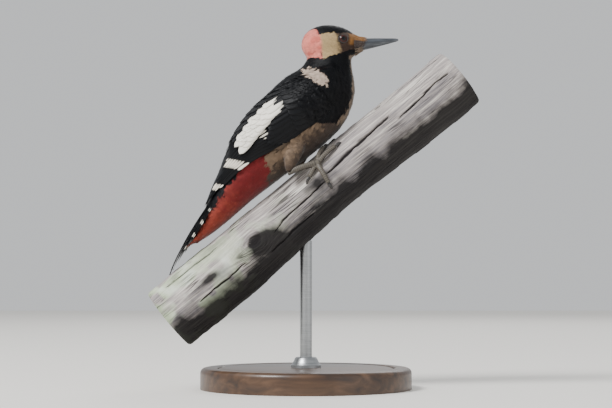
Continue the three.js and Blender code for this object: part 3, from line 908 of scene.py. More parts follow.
# One large feather as a thin closed vane with a raised shaft. It lies a little below its smooth guide
# face. Its outer web, at u = -1, is narrower and rides over the next feather.
def layQuill(form, point, place, root, tip, web, depth, tilt=0.25, taper=0.2, sink=0.25, bar=None):
    t = np.array(form["rows"])[:, None]
    u = np.array(form["columns"])[None, :]
    a = root[0] + (tip[0] - root[0]) * t[:, 0]
    b = root[1] + (tip[1] - root[1]) * t[:, 0]
    middle = point(a, b)
    along = unit(np.gradient(middle, axis=0))
    up = unit(np.cross(along, point(a, b + 0.5) - middle))
    across = np.cross(up, along)
    end = np.clip((t - (1 - taper)) / taper, 0, 1)
    width = (0.45 + 0.55 * smoothStep(0, 0.3, t)) * np.sqrt(np.maximum(1 - end ** 2.2, 0.0004))
    reachOut = np.where(u < 0, web[0], web[1]) * u * width
    reachOut = reachOut * (1 + 0.02 * chance.standard_normal((len(t), 1)))
    flat = middle[:, None, :] + across[:, None, :] * reachOut[:, :, None]
    ground = point(*place(flat))
    below = depth + tilt * u + sink * (1 - t) - form["shaft"] * (np.abs(u) < 0.04) * (1 - 0.7 * t)
    upper = ground - up[:, None, :] * below[:, :, None]
    thin = form["thick"] * (1 - 0.75 * np.abs(u) ** 3) * (1 - 0.5 * t)
    lower = upper - up[:, None, :] * thin[:, :, None]
    t, u = np.broadcast_to(t, reachOut.shape), np.broadcast_to(u, reachOut.shape)
    barbs = np.stack([reachOut, t * np.linalg.norm(middle[-1] - middle[0])], 2) * 0.1
    bars = np.full(reachOut.shape, -9.0) if bar is None else bar(upper)
    return upper, lower, barbs, bars, t, u


def quillFaces(form):
    rows, columns = len(form["rows"]), len(form["columns"])
    count = rows * columns
    spot = np.arange(count).reshape(rows, columns)
    quads = []
    for a, b, d, e in zip(*(each.ravel().tolist() for each in (spot[:-1, :-1], spot[:-1, 1:], spot[1:, :-1],
                                                               spot[1:, 1:]))):
        quads += [(a, b, e, d), (a + count, d + count, e + count, b + count)]
    for rim in (spot[:, 0], spot[::-1, -1], spot[0, ::-1], spot[-1]):
        quads += [(a, b, b + count, a + count) for a, b in zip(rim[:-1].tolist(), rim[1:].tolist())]
    return np.array(quads)


# Joins laid feathers into one piece for a side of the bird.
def quillPiece(name, form, laid, sign, replaced=(), material=flightFeathers):
    faces = quillFaces(form)
    parts = []
    for index, ((upper, lower, barbs, bars, t, u), tint) in enumerate(laid):
        both = np.concatenate([upper.reshape(-1, 3), lower.reshape(-1, 3)]) * (1, sign, 1)
        quads = (faces if sign < 0 else faces[:, ::-1]) + index * len(both)
        base = linear(tint) * (1 + 0.05 * chance.standard_normal())
        shades = base * (0.75 + 0.25 * smoothStep(0, 0.5, t)).reshape(-1, 1)
        strip = np.stack([(index + 0.5 + 0.4 * u) / len(laid), 0.02 + 0.46 * t], 2).reshape(-1, 2)
        parts.append((both, quads, np.tile(shades, (2, 1)), np.tile(bars.ravel(), 2), np.tile(u.ravel(), 2),
                      np.concatenate([strip, strip + (0, 0.5)]), np.tile(barbs.reshape(-1, 2), (2, 1))))
    points, quads, shades, bars, webs, homes, barbs = (np.concatenate(each) for each in zip(*parts))
    piece = meshPiece(name, fromBird(points), quads, (), {"plumage": shades, "bar": bars, "web": webs},
                      {"OFBake": homes, "Barbs": barbs})
    settle(piece, material, replaced)
    print(name + ":", len(laid), "feathers")


# Each group from the outermost feather in: share of the way from the wing's lower edge to its upper one at
# root and tip, s at root and tip, outer and inner web, depth below the wing's face.
primaries = {"roots": [0.04, 0.09, 0.15, 0.21, 0.27, 0.33, 0.39, 0.44, 0.49],
             "tips": [0.10, 0.16, 0.24, 0.32, 0.40, 0.47, 0.53, 0.58, 0.62],
             "from": 112, "to": [60, 49, 45, 47, 54, 62, 69, 75, 80], "web": (2.2, 4.6), "depth": (2.0, 1.5)}
secondaries = {"roots": [0.52, 0.57, 0.62, 0.67, 0.72, 0.77], "tips": [0.60, 0.65, 0.69, 0.73, 0.78, 0.83],
               "from": 114, "to": [79, 80, 81, 82, 83, 84], "web": (3.0, 5.0), "depth": (1.45, 1.1)}
tertials = {"roots": [0.83, 0.89, 0.95, 0.99], "tips": [0.88, 0.94, 0.99, 1.03], "from": 124,
            "to": [80, 84, 89, 95], "web": (4.2, 4.0), "depth": (1.0, 0.7)}
greaterCoverts = {"roots": [0.30, 0.37, 0.44, 0.51, 0.58, 0.65, 0.72, 0.79, 0.86],
                  "tips": [0.31, 0.38, 0.45, 0.52, 0.59, 0.66, 0.73, 0.80, 0.87], "from": 138,
                  "to": [108, 110, 111, 112, 113, 114, 115, 116, 118], "web": (3.4, 4.4), "depth": (0.9, 0.6)}
primaryCoverts = {"roots": [0.03, 0.08, 0.13, 0.18, 0.24], "tips": [0.05, 0.10, 0.16, 0.21, 0.27], "from": 138,
                  "to": [112, 108, 105, 104, 105], "web": (2.2, 3.4), "depth": (1.1, 0.8)}
medianCoverts = {"roots": [0.08, 0.18, 0.28, 0.38, 0.48, 0.58, 0.68, 0.78],
                 "tips": [0.09, 0.19, 0.29, 0.39, 0.49, 0.59, 0.69, 0.79], "from": 146,
                 "to": [124, 125, 126, 127, 128, 129, 130, 131], "web": (4.2, 4.8), "depth": (0.55, 0.4)}
whiteBars = {"centres": [-4, 16.5, 36.5, 56.5, 77, 108, 125], "lean": 0.75, "height": 29}


def wingTurn(share, s):
    low, high = readOff(wingEdges, s)
    return low + (high - low) * share


# Counts the white bars along the wing: each whole number is the middle of one.
def wingBar(points):
    along = points[..., 0] + whiteBars["lean"] * (points[..., 2] - whiteBars["height"])
    return np.interp(along, whiteBars["centres"], np.arange(len(whiteBars["centres"])))


def layGroup(form, group, bar=None, **shape):
    laid = []
    for index, (rootShare, tipShare) in enumerate(zip(group["roots"], group["tips"])):
        share = index / max(1, len(group["roots"]) - 1)
        start, end = group["from"], group["to"][index]
        depth = group["depth"][0] + (group["depth"][1] - group["depth"][0]) * share
        laid.append((layQuill(form, wingPoint, wingPlace, (start, wingTurn(rootShare, start)),
                              (end, wingTurn(tipShare, end)), group["web"], depth, bar=bar, **shape),
                     feathers["black"]))
    return laid


# Small coverts in staggered rows over the front of the wing, each row over the one behind it.
lesserCoverts = {"from": 141, "to": 160, "row": 3.0, "length": 8.5, "spread": 4.2, "web": 2.9, "depth": 0.35}
# Scapulars lie from the shoulder over the inner wing: white ones low down, black ones nearer the back.
scapulars = {"length": 15, "web": 3.5, "white": ([26, 32, 38, 44], [113, 108, 103, 98, 93.5, 89.5, 86]),
             "black": ([51, 58, 65, 73, 81], [134, 127, 120, 113, 106, 99, 92, 86])}  # angles, s at the tips


def layLesser():
    laid = []
    for row, root in enumerate(np.arange(lesserCoverts["from"], lesserCoverts["to"], lesserCoverts["row"])):
        low, high = wingTurn(0, root), wingTurn(1, root)
        radius = np.linalg.norm(wingPoint(root, np.array(0.0))[1:]) * 0.6
        step = math.degrees(lesserCoverts["spread"] / radius)
        top = high + step if root < 150 else high - 0.6 * step
        for turn in np.arange(low + step * (0.2 + 0.5 * (row % 2)), top, step):
            start = root + chance.normal(0, 0.4)
            end = start - lesserCoverts["length"] * (1 + chance.normal(0, 0.06))
            aside = turn + chance.normal(0, 1.2)
            share = (aside - low) / (high - low)
            web = lesserCoverts["web"] * (1 + chance.normal(0, 0.05))
            depth = lesserCoverts["depth"] - 0.012 * row
            laid.append((layQuill(covert, wingPoint, wingPlace, (start, aside), (end, wingTurn(share, end)),
                                  (web, web), depth, tilt=0.08, taper=0.6, sink=0.55), feathers["black"]))
    return laid


def layScapulars(tint, depth, sink):
    laid = []
    turns, tips = scapulars[tint]
    for column, turn in enumerate(turns):
        for tip in tips:
            end = tip + 2.6 * (column % 2) + chance.normal(0, 0.6)
            web = scapulars["web"] * (1 + chance.normal(0, 0.05))
            laid.append((layQuill(covert, wingPoint, wingPlace, (end + scapulars["length"], turn - 2),
                                  (end, turn + chance.normal(0, 1)), (web, web), depth, tilt=0.12, taper=0.55,
                                  sink=sink), feathers[tint]))
    return laid


for side, sign in sides.items():
    laid = layGroup(quill, primaries, wingBar, taper=0.16) + layGroup(quill, secondaries, wingBar, taper=0.14)
    laid += layGroup(quill, tertials, wingBar, taper=0.2)
    quillPiece("flightFeathers" + side.title(), quill, laid, sign, ["wing_" + side])
    laid = layGroup(quill, primaryCoverts, taper=0.35) + layGroup(quill, greaterCoverts, taper=0.3)
    laid += layGroup(quill, medianCoverts, taper=0.45)
    quillPiece("wingCoverts" + side.title(), quill, laid, sign)
    laid = layLesser() + layScapulars("black", 0.1, 1.1)
    quillPiece("shoulderFeathers" + side.title(), covert, laid, sign)
    quillPiece("whiteScapulars" + side.title(), covert, layScapulars("white", 0.15, 0.75), sign)


# Stiff, pointed feathers, the middle pair on top: root across, tip along and across, webs, depth, bars.
tailFeathers = [(1.4, -1.2, 2.2, (4.0, 4.2), 0.35, None), (2.8, 2.0, 4.6, (4.0, 4.2), 0.9, None),
                (4.2, 8.0, 7.4, (4.0, 4.2), 1.45, None), (5.6, 15.0, 9.8, (3.8, 4.2), 2.0, 9.5),
                (7.0, 24.0, 11.4, (3.4, 4.0), 2.55, 9.5)]


def layTail():
    laid = []
    for rootAcross, tipAlong, tipAcross, web, depth, spacing in tailFeathers:
        bar = spacing and (lambda points: points[..., 0] / spacing)
        root, tip = (66, -rootAcross), (tipAlong, -tipAcross)
        laid.append((layQuill(quill, tailPoint, tailPlace, root, tip, web, depth, tilt=0.15, taper=0.42, bar=bar),
                     feathers["black"]))
    return laid


quillPiece("tailLeft", quill, layTail(), 1, ["tail"])
quillPiece("tailRight", quill, layTail(), -1)

# Under the tail longer red feathers close the coverts to a point. Their guide: s, lowest height, half
# width and depth; their rows: s at the tip, depth below the guide, and angles from the middle line.
ventForm = [[16, 6.6, 2.2, 0.4], [22, 5.9, 4.2, 1.6], [28, 4.3, 6.2, 3.4], [34, 3.5, 8.3, 4.3],
            [40, 3.1, 9.8, 4.9], [50, 2.9, 11.3, 5.1]]
ventRows = [(18.0, 0.6, [-25, 0, 25]), (21.5, 0.45, [-48, -16, 16, 48]), (25.0, 0.3, [-62, -31, 0, 31, 62]),
            (29.0, 0.15, [-76, -46, -15, 15, 46, 76]), (33.0, 0.0, [-84, -56, -28, 0, 28, 56, 84])]


def ventPoint(s, turn):
    low, wide, deep = readOff(ventForm, s)
    return np.stack([s, wide * np.sin(np.radians(turn)), low + deep * (1 - np.cos(np.radians(turn)))], -1)


def ventPlace(points):
    s, y, z = np.moveaxis(points, -1, 0)
    low, wide, deep = readOff(ventForm, s)
    return s, np.degrees(np.arctan2(y / wide, 1 - (z - low) / deep))


# the red under the tail, in its orange copy painted as lit
laid = []
for tip, depth, turns in ventRows:
    for turn in turns:
        end = tip + chance.normal(0, 0.5)
        root, point = (end + 14, turn), (end, turn + chance.normal(0, 2))
        laid.append((layQuill(covert, ventPoint, ventPlace, root, point, (2.3, 2.3), depth, tilt=0.1, taper=0.5,
                              sink=0.7), feathers["litRed"]))
quillPiece("ventFeathers", covert, laid, 1, material=plumage["softPaleFeathers"])


# Rings along the bill in the head's frame: along, middle height, half width, half height.
billForm = {"rings": [[11.0, 1.0, 4.75, 4.65], [13.5, 1.02, 4.6, 4.5], [17, 1.08, 4.2, 4.25],
                      [22, 1.15, 3.55, 3.75], [28, 1.25, 2.8, 3.0], [34, 1.35, 1.95, 2.15],
                      [39, 1.43, 1.35, 1.4], [42, 1.48, 1.08, 0.95], [43.6, 1.5, 0.9, 0.55],
                      [44.0, 1.5, 0.75, 0.3]],
            "sides": 20, "gape": 1.2, "seam": 0.05, "ridge": 0.28, "groove": 0.3}


# A closed form swept through rings by extruding a disc and resizing each end, in mm.
def ringForm(name, rings, sidesRound):
    x, z, wide, high = rings[0]
    bpy.ops.mesh.primitive_circle_add(vertices=sidesRound, radius=1, fill_type="NGON", location=(x, 0, z),
                                      rotation=(0, math.pi / 2, 0))
    bpy.ops.object.transform_apply(location=True, rotation=True, scale=True)
    piece = named(name)
    bpy.ops.object.mode_set(mode="EDIT")
    bpy.ops.mesh.select_all(action="SELECT")
    bpy.ops.transform.resize(value=(1, wide, high), center_override=(x, 0, z))
    for (x0, z0, wide0, high0), (x1, z1, wide1, high1) in zip(rings, rings[1:]):
        bpy.ops.mesh.extrude_region_move(TRANSFORM_OT_translate={"value": (x1 - x0, 0, z1 - z0)})
        bpy.ops.transform.resize(value=(1, wide1 / wide0, high1 / high0), center_override=(x1, 0, z1))
    faceOutward(piece)
    return piece


for name, way in (("upper", 1), ("lower", -1)):
    bill = ringForm("billSheath" + name.title(), billForm["rings"], billForm["sides"])
    applyModifier(bill, "SUBSURF", levels=2, render_levels=2)
    x, y, z = pointsOf(bill.data).T
    middle, half, _ = readOff(billForm["rings"], x)
    lift = (z - middle) / half
    z = z + billForm["ridge"] * np.exp(-(y / (0.22 * half)) ** 2) * (np.sign(lift) == way) * way
    groove = np.exp(-((lift - 0.5) / 0.13) ** 2) * smoothStep(10, 14, x) * (1 - smoothStep(22, 33, x))
    y = y * (1 - billForm["groove"] * 0.3 * groove * (way > 0))
    gape = billForm["gape"] + 0.3 * (x - 12) / 32
    gape = gape + way * billForm["seam"] * smoothStep(0.55, 0.95, np.abs(y) / half)
    z = np.maximum(z, gape) if way > 0 else np.minimum(z, gape)
    setPoints(bill.data, fromBird(fromHead(np.stack([x, y, z], 1))))
    smoothUnder(50)
    settle(bill, finishes["slateBillHorn"], ["bill_" + name])

# The eye's way of looking, and its lids: a ring of so many mm, its thickness, and how far it is stretched.
eyeForm = {"look": (0.22, 1, 0.06), "cornea": 0.16, "lidRing": 2.72, "lidThick": 0.36, "almond": 1.1,
           "beads": 0.05}


# Puts a piece modelled round +Z, in mm, in an eye's place, looking out.
def finishEye(piece, points, sign, material, replaced=()):
    look = unit(np.array(eyeForm["look"]) * (1, sign, 1))
    ahead = unit(np.array([1, 0, 0]) - look * look[0])
    above = np.cross(look, ahead) * -sign
    centre = np.array([eyeAt["along"], sign * eyeAt["across"], eyeAt["up"]])
    placed = centre + points[:, :1] * ahead + points[:, 1:2] * above + points[:, 2:] * look
    setPoints(piece.data, fromBird(fromHead(placed)))
    faceOutward(piece)
    piece.data.shade_smooth()
    settle(piece, material, replaced)


for side, sign in sides.items():
    bpy.ops.mesh.primitive_uv_sphere_add(segments=48, ring_count=32, radius=eyeAt["radius"])
    ball = named("eyeball" + side.title())
    points = pointsOf(ball.data)
    away = np.hypot(points[:, 0], points[:, 1])
    points[:, 2] += eyeForm["cornea"] * np.exp(-(away / 1.9) ** 2) * (points[:, 2] > 0)
    setValues(ball.data, "fromPupil", np.where(points[:, 2] > 0, away, 9))
    finishEye(ball, points, sign, eyeWet, ["eye_" + side])

    bpy.ops.mesh.primitive_torus_add(major_segments=64, minor_segments=12, major_radius=eyeForm["lidRing"],
                                     minor_radius=eyeForm["lidThick"])
    lids = named("eyelids" + side.title())
    points = pointsOf(lids.data)
    angle = np.arctan2(points[:, 1], points[:, 0])
    points[:, :2] *= (eyeForm["almond"] - 0.16 * np.sin(angle) ** 2 + 0.05 * np.cos(angle) ** 6)[:, None]
    points[:, 2] += math.sqrt(eyeAt["radius"] ** 2 - eyeForm["lidRing"] ** 2)
    points[:, 2] += eyeForm["beads"] * np.abs(np.sin(16 * angle))
    finishEye(lids, points, sign, finishes["greyLidSkin"])
print("bill and eyes: done")

# Stiff tufts lie forward over the nostrils and, shorter, under the chin. Real bristles are hair thin, so
# they are drawn in tufts wide enough to show.
bristles = {"groups": [("forehead", 400, -72, 72, 6.2, 0.45), ("lores", 230, 72, 112, 4.6, 0.5),
                       ("lores", 230, -112, -72, 4.6, 0.5), ("shadedThroat", 230, 118, 242, 3.6, 0.5)],
            "reach": [[13, 8.6, 8.0], [15, 6.6, 6.6], [16.5, 5.6, 5.6], [18, 4.75, 4.75], [20, 4.2, 4.3],
                      [23, 3.65, 3.85]],  # along, half width, half height of what they lie on
            "width": 0.28, "steps": [0, 0.3, 0.6, 0.85, 1.0]}


def layBristles():
    points, colours, maps, quads = [], [], [], []
    for tint, count, fromTurn, toTurn, length, lift in bristles["groups"]:
        turns = np.radians(chance.uniform(fromTurn, toTurn, count))
        starts = chance.uniform(13.6, 17.2, count)
        lengths = length * chance.uniform(0.75, 1.15, count)
        fan = chance.normal(0, 0.06, count)
        lifts = lift * chance.uniform(0.2, 1.1, count)
        shades = linear(feathers[tint]) * chance.uniform(0.75, 1.25, (count, 1))
        first = sum(len(each) for each in points)
        rows = []
        for t in bristles["steps"]:
            along = starts + lengths * t
            angle = turns + fan * t
            over = lifts * math.sin(math.pi * min(1, 0.15 + t * 0.7)) + 0.12
            wide, high = readOff(bristles["reach"], along)
            middle = np.stack([along, (wide + over) * np.sin(angle), 1.1 + (high + over) * np.cos(angle)], 1)
            side = np.stack([0 * angle, np.cos(angle), -np.sin(angle)], 1)
            out = np.stack([0 * angle, np.sin(angle), np.cos(angle)], 1)
            half = bristles["width"] * (0.5 - 0.46 * t ** 1.5)
            rows.append(np.stack([middle - side * half, middle + out * half * 0.5, middle + side * half], 1))
        points.append(np.stack(rows, 1).reshape(-1, 3))
        perTuft = 3 * len(rows)  # points
        colours.append(np.repeat(shades, perTuft, 0))
        home = np.stack([0.5 + 0.4 * turns / math.pi, 0.1 + 0.8 * (starts - 13) / 5], 1)[:, None, None, :]
        patch = np.zeros((count, len(rows), 3, 2)) + home
        patch[..., 0] += vane["patch"] * np.array([-0.5, 0, 0.5])
        patch[..., 1] += vane["patch"] * np.array(bristles["steps"])[:, None]
        maps.append(patch.reshape(-1, 2))
        for a in (first + index * perTuft + 3 * row for index in range(count) for row in range(len(rows) - 1)):
            quads += [(a, a + 1, a + 4, a + 3), (a + 1, a + 2, a + 5, a + 4), (a + 2, a, a + 3, a + 5)]
    maps = np.concatenate(maps)
    piece = meshPiece("nasalBristles", fromBird(fromHead(np.concatenate(points))), quads, (),
                      {"plumage": np.concatenate(colours)}, {"OFBake": maps, "Barbs": maps})
    faceOutward(piece)
    settle(piece, plumage["softPaleFeathers"])


layBristles()


# Horny plates run across the tops of the toes and the front of the shank; the soles are pebbled. Sizes are
# in mm, and branch, toeTop and heel are distances from the middle of the branch.
feet = {"voxel": 0.28, "smoothing": 5, "plate": 1.25, "plateDepth": 0.1, "clawLevels": 2, "sink": 1.0,
        "clawSink": 1.2, "branch": 21.6, "toeTop": 25.5, "heel": 29.5, "swell": 0.12,
        "ankles": {"right": (121, -18.3, -5.5), "left": (128, 18.3, -5.5)}}
toes = ["1_hind", "2_inner", "3_middle", "4_outer"]


# Toes and claws press towards the middle of the branch, down to its weathered face. The heel stays.
def pressed(points, depth):
    fromCore = points * (0, 1, 1) + (0, 0, feet["branch"])
    press = depth * (1 - smoothStep(feet["toeTop"], feet["heel"], np.linalg.norm(fromCore, axis=1)))
    return points - unit(fromCore) * press[:, None]


for side in sides:
    foot = copyOf(["foot_" + side], "scalyFoot" + side.title())
    applyModifier(foot, "REMESH", mode="VOXEL", voxel_size=feet["voxel"] * mm, use_smooth_shade=True)
    applyModifier(foot, "SMOOTH", factor=0.5, iterations=feet["smoothing"])
    points = toBird(pointsOf(foot.data))
    ways = normalsOf(foot.data)
    away = np.linalg.norm(points - np.array(feet["ankles"][side]), axis=1)
    outward = unit(points * (0, 1, 1) + (0, 0, feet["branch"]))
    top = smoothStep(-0.1, 0.5, np.sum(ways * outward, 1))
    plates = np.abs(np.sin(math.pi * away / feet["plate"])) ** 0.6
    pebbles = noise(points[:, 0] / 0.5, (points[:, 1] + 40) / 0.5, 300, 5)
    sunk = feet["plateDepth"] * (1 - plates) * top + 0.1 * pebbles * (1 - top)
    setValues(foot.data, "sunk", sunk / feet["plateDepth"])
    setPoints(foot.data, fromBird(pressed(points + ways * (feet["swell"] - sunk)[:, None], feet["sink"])))
    settle(foot, footScales, ["foot_" + side])
    clawNames = ["claw_%s_%s" % (side, toe) for toe in toes]
    claws = copyOf(clawNames, "hookedClaws" + side.title())
    applyModifier(claws, "SUBSURF", levels=feet["clawLevels"], render_levels=feet["clawLevels"])
    setPoints(claws.data, fromBird(pressed(toBird(pointsOf(claws.data)), feet["clawSink"])))
    smoothUnder(60)
    settle(claws, finishes["darkClawHorn"], clawNames)
print("feet: done")


# Weathered bare wood with lengthwise checks, knots and crusts of lichen; both ends are sawn. Lengths are in
# mm, and a turn is a share of the way round, 0 on top.
perch = {"low": -20, "high": 232, "lowRadius": 23, "highRadius": 20.5, "meanRadius": 22, "around": 288,
         "cuts": 15, "capRings": 22, "rim": 0.7, "skim": 0.22, "grain": 0.35, "checkDepth": 1.3,
         "patchDepth": 0.4, "tailWear": (2, 8, 7),  # s, reach along, reach round
         "knots": [(57, -0.23, 6.5), (176, -0.06, 3.4), (14, 0.06, 3.0), (98, 0.33, 4.5)],  # s, turn, radius
         "splits": [(120, 178, -0.205, -0.17, 1.7), (70, 118, -0.24, -0.235, 0.8), (-8, 36, -0.11, -0.115, 0.7),
                    (180, 226, -0.215, -0.2, 0.9), (30, 92, 0.21, 0.2, 0.8), (120, 205, 0.3, 0.29, 0.8),
                    (60, 100, -0.31, -0.32, 0.8), (140, 200, 0.12, 0.13, 0.6), (192, 228, -0.07, -0.08, 0.7),
                    (4, 44, -0.28, -0.27, 0.7)],  # from, to, turn at both, half width
         # dark patches on the underside: the bird's painted shadow near s 112, painted shade round the knot near
         # s 60, and another near the low end
         "darkPatches": [(112, -0.2, 17, 6), (62, -0.25, 13, 8), (16, -0.22, 12, 4)]}  # s, turn, reach


def branchRadius(s, angle):
    share = (s - perch["low"]) / (perch["high"] - perch["low"])
    plain = perch["lowRadius"] + (perch["highRadius"] - perch["lowRadius"]) * share
    plain = plain + 0.8 * np.sin(0.034 * s + 0.6)
    flutes = np.cos(3 * angle + 0.012 * s) + 0.6 * np.cos(5 * angle - 0.02 * s + 1.3)
    return plain + 0.55 * flutes * np.sin(angle / 2) ** 2


# The branch's side is cut into rings in two goes, and its ends are inset ring by ring.
bpy.ops.mesh.primitive_cylinder_add(vertices=perch["around"], radius=1, depth=1)
wood = named("weatheredBranch")


def runsLengthwise(edge):
    a, b = (wood.data.vertices[i].co.z for i in edge.vertices)
    return abs(a - b) > 0.9 / (perch["cuts"] + 1)


for _ in range(2):
    openWith(wood, "EDGE", runsLengthwise)
    bpy.ops.mesh.subdivide(number_cuts=perch["cuts"])
openWith(wood, "FACE", lambda face: len(face.vertices) > 4)
for _ in range(perch["capRings"]):
    bpy.ops.mesh.inset(thickness=0.96 / perch["capRings"])
bpy.ops.mesh.poke()
bpy.ops.mesh.select_mode(type="VERT")
bpy.ops.object.mode_set(mode="OBJECT")
print("branch mesh:", len(wood.data.polygons), "faces")

# How far the weather has sunk each point, in mm.
x, y, z = pointsOf(wood.data).T
spot = perch["low"] + (z + 0.5) * (perch["high"] - perch["low"])
share, angle = np.hypot(x, y), np.arctan2(y, x)
turn, along = angle / (2 * math.pi), spot + 40
sawn = (share < 0.985).astype(float)
fromEnd = np.minimum(spot - perch["low"], perch["high"] - spot)
girth = perch["meanRadius"] * 2 * math.pi
drift = 5 * noise(along / 70, turn * 6, 6, 11)
knots, whorls, pushed, checks = np.zeros((4, len(spot)))
for at, side, radius in perch["knots"]:  # the grain flows round each knot
    off, ahead = (turn - side) * girth, spot - at
    away = np.hypot(ahead / 1.35, off) + 0.22 * radius * (noise(along / 3, turn * 40, 40, 24) - 0.3)
    away += 0.3 * radius * (noise(along / 9, turn * 14, 14, 25) - 0.5)
    fade = np.exp(-(ahead / (2.4 * radius)) ** 2 - np.abs(off) / (1.6 * radius))
    pushed -= radius * np.tanh(off / 1.5) * fade
    knots = np.maximum(knots, 1 - smoothStep(0.3 * radius, 0.85 * radius, away))
    whorls = np.maximum(whorls, np.exp(-(away / (1.7 * radius)) ** 2) * (0.5 + 0.5 * np.cos(away * 3.4)))
grainTurn = turn + pushed / girth
grain = noise(along / 24, grainTurn * 90 + drift, 90, 12)
fine = noise(along / 8, grainTurn * 190 + drift, 190, 13)
broad = noise(along / 45, turn * 11 + 0.3 * drift, 11, 14)
for start, end, atStart, atEnd, half in perch["splits"]:
    part = np.clip((spot - start) / (end - start), 0, 1)
    wander = atStart + (atEnd - atStart) * part + 0.014 * (noise(along / 14, turn * 0, 4, 19) - 0.5)
    wander += 0.004 * (noise(along / 3, turn * 0, 4, 22) - 0.5)
    gap = half * np.sqrt(4 * part * (1 - part)) * (0.6 + 0.8 * noise(along / 6, turn * 0, 4, 23)) + 0.001
    split = 1 - smoothStep(0.35 * gap, gap + 0.15, np.abs(grainTurn - wander) * girth)
    checks = np.maximum(checks, split * smoothStep(0, 0.04, part) * smoothStep(1, 0.96, part))
patches = 0.65 * noise(along / 16, turn * 9, 9, 16) + 0.35 * noise(along / 5, turn * 28, 28, 17)
patches = smoothStep(0.46, 0.6, patches)
away = share * perch["highRadius"]
rings = 0.5 + 0.5 * np.sin(away * 4.2 + 4 * noise(away / 7, turn * 8 + 16, 8, 18))
spokes = np.abs(noise(away * 0 + 3, turn * 20 + 20, 20, 21) - 0.5)
radial = (1 - smoothStep(0, 0.045, spokes)) * smoothStep(2, 8, away)
sunk = perch["skim"] + perch["grain"] * (0.6 * grain + 0.4 * fine) + perch["patchDepth"] * (1 - patches)
sunk += 0.5 * broad + perch["checkDepth"] * checks + 1.5 * knots + 0.5 * whorls
wornAt, wornAlong, wornRound = perch["tailWear"]  # where the tail presses
worn = np.exp(-((spot - wornAt) / wornAlong) ** 2 - (turn * girth / wornRound) ** 2)
sunk = np.minimum(sunk, 2.6) * (1 - 0.85 * worn) + perch["rim"] * (1 - smoothStep(0, 1.2, fromEnd))
radius = share * (branchRadius(spot, angle) - sunk * smoothStep(0.2, 1, share))
inset = sawn * (0.12 + 0.14 * rings + 0.7 * radial + 0.3 * smoothStep(0.9, 1, share))
spot = np.where(z > 0, spot - inset, spot + inset)
core = -branchRadius(spot, 0 * angle)
setPoints(wood.data, fromBird(np.stack([spot, radius * np.sin(angle), core + radius * np.cos(angle)], 1)))
# the painted shadow and shade patches, which lower the up value below
paintedShade = sum(np.exp(-((spot - at) / reachAlong) ** 2 - ((turn - side) * girth / reachRound) ** 2)
           for at, side, reachAlong, reachRound in perch["darkPatches"])
# cracks and knot hollows, painted near black in the material as painted shade, with the whorls round the knots
# half as dark
deepest = np.clip(np.maximum(checks, knots) + 0.5 * whorls, 0, 1)
# up: how far each point faces upward, less the dark patches; the material paints low values near black as painted
# shade
for name, values in {"checks": deepest * (1 - sawn) + 0.85 * radial * sawn,
                     "grain": (0.5 * grain + 0.2 * fine + 0.3 * broad) * (1 - sawn) + sawn * rings,
                     "patches": patches * (1 - sawn), "sawn": sawn, "up": np.cos(angle) - 0.75 * paintedShade,
                     "height": along / 280}.items():
    setValues(wood.data, name, values)
faceOutward(wood)
corners = readInts(wood.data.loops, "vertex_index")
starts, sizes = (readInts(wood.data.polygons, what) for what in ("loop_start", "loop_total"))
rounded = grainTurn[corners]
widest = np.repeat(np.maximum.reduceat(rounded, starts), sizes)
rounded = np.where(widest - rounded > 0.5, rounded + 1, rounded)  # faces over the seam stay whole
grainMap = wood.data.uv_layers.new(name="Grain")
grainMap.data.foreach_set("uv", np.stack([spot[corners], rounded * girth], 1).ravel() / 10)
smoothUnder(45)
settle(wood, weatheredWood, ["perch"])


# An upright cylinder between two heights in metres, with a radius in mm.
def column(name, radius, low, high, sidesRound):
    bpy.ops.mesh.primitive_cylinder_add(vertices=sidesRound, radius=radius * mm, depth=high - low,
                                        location=(0, 0, (low + high) / 2))
    bpy.ops.object.transform_apply(location=True, rotation=True, scale=True)
    return named(name)


# The plinth has a groove round its top, so far in from the rim. Sizes are in mm.
stand = {"radius": 70, "height": 14, "bevel": 3.5, "grooveIn": 10.5, "grooveWide": 0.8, "groove": 0.7, "rod": 4,
         "rodRim": 0.6}
plinth = column("turnedPlinth", stand["radius"], 0, stand["height"] * mm, 160)
openWith(plinth, "FACE", lambda face: face.normal.z > 0.9)
for thickness, depth in (("grooveIn", 0), ("grooveWide", -1), ("grooveWide", 1)):
    bpy.ops.mesh.inset(thickness=stand[thickness] * mm, depth=depth * stand["groove"] * mm)


# The rim and the inner edge of the groove are rounded.
def isRounded(edge):
    a, b = (plinth.data.vertices[i].co / mm for i in edge.vertices)
    out = min(a.xy.length, b.xy.length)
    inside = stand["radius"] - stand["grooveIn"] - 1.5 * stand["grooveWide"]
    return min(a.z, b.z) > stand["height"] - 0.1 and (out > stand["radius"] - 0.1 or out < inside)


openWith(plinth, "EDGE", isRounded)
bpy.ops.mesh.bevel(offset=stand["bevel"] * mm, segments=6)
smoothUnder(40)
settle(plinth, finishes["stainedBeech"], ["stand_base"])

# the collar is spun from its profile, and the rod is a long thin cylinder run up into the branch
profile = [(4.05, 14), (10, 14), (10, 15.6), (9.4, 16.3), (8.2, 18.2), (7.3, 20.2), (6.6, 20.9), (4.05, 21)]
bpy.ops.mesh.primitive_plane_add(size=1)
collar = named("brushedCollar")
bpy.ops.object.mode_set(mode="EDIT")
bpy.ops.mesh.delete(type="VERT")
bpy.ops.object.mode_set(mode="OBJECT")
collar.data.from_pydata([(r * mm, 0, z * mm) for r, z in profile], [(i, (i + 1) % 8) for i in range(8)], [])
bpy.ops.object.mode_set(mode="EDIT")
bpy.ops.mesh.select_all(action="SELECT")
bpy.ops.mesh.spin(steps=96, angle=2 * math.pi, center=(0, 0, 0), axis=(0, 0, 1))
bpy.ops.mesh.select_all(action="SELECT")
bpy.ops.mesh.remove_doubles(threshold=0.01 * mm)
faceOutward(collar)
smoothUnder(35)
settle(collar, finishes["brushedSteel"], ["stand_collar"])

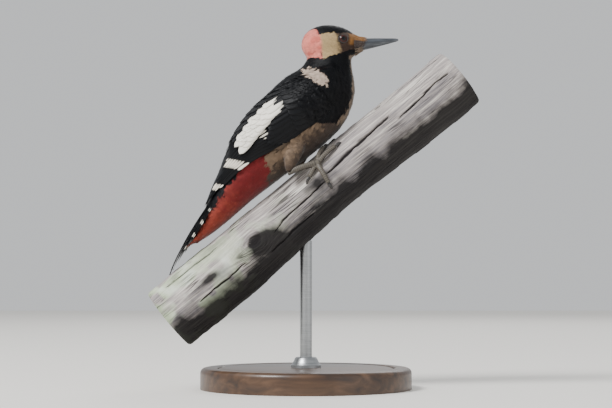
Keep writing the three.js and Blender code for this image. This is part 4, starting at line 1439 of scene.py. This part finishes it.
rod = column("brushedRod", stand["rod"], *(corner.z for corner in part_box("stand_rod")), 64)
openWith(rod, "FACE", lambda face: abs(face.normal.z) > 0.9)
bpy.ops.mesh.inset(thickness=stand["rodRim"] * mm)
smoothUnder(35)
settle(rod, finishes["brushedSteel"], ["stand_rod"])
print("perch and stand: done")


# Colours of floor and sky, and the camera's angle in degrees, lens in mm, distance and aim in metres.
stage = {"floor": "#e9e6e0", "world": "#f1f3f5", "worldStrength": 0.78, "elevation": -3.0, "lens": 90,
         "distance": 1.02, "aim": (0.0, 0.0, 0.1225)}

bpy.ops.mesh.primitive_plane_add(size=6)
floor = named("floor")
# matt wall paint on a smooth board
floorPaint, _, _ = newMaterial("paintedFloor", **{"Roughness": 0.7, "Base Color": colour(stage["floor"])})
floor.data.materials.append(floorPaint)

world = bpy.data.worlds.new("studio")
bpy.context.scene.world = world
world.use_nodes = True
world.node_tree.nodes["Background"].inputs["Color"].default_value = colour(stage["world"])
world.node_tree.nodes["Background"].inputs["Strength"].default_value = stage["worldStrength"]


# A square lamp of so many watts and metres that looks at the bird.
def softLight(name, power, size, place, aim=(0, 0, 0.14)):
    light = bpy.data.lights.new(name, "AREA")
    light.energy, light.size = power, size
    lamp = bpy.data.objects.new(name, light)
    lamp.location = place
    lamp.rotation_euler = (Vector(aim) - Vector(place)).to_track_quat("-Z", "Y").to_euler()
    bpy.context.scene.collection.objects.link(lamp)


softLight("keyLight", 78, 0.8, (-1.3, -1.1, 1.8))
softLight("fillLight", 5, 1.6, (1.6, -1.2, 0.7))
softLight("rimLight", 10, 1.2, (0.5, 1.6, 1.3))
print("stage: done")

camera = bpy.data.objects.new("camera", bpy.data.cameras.new("camera"))
camera.data.lens = stage["lens"]
angle = math.radians(stage["elevation"])
aim = Vector(stage["aim"])
camera.location = aim + stage["distance"] * Vector((0, -math.cos(angle), math.sin(angle)))
camera.rotation_euler = (aim - camera.location).to_track_quat("-Z", "Y").to_euler()
bpy.context.scene.collection.objects.link(camera)
bpy.context.scene.camera = camera

print("all pieces made")
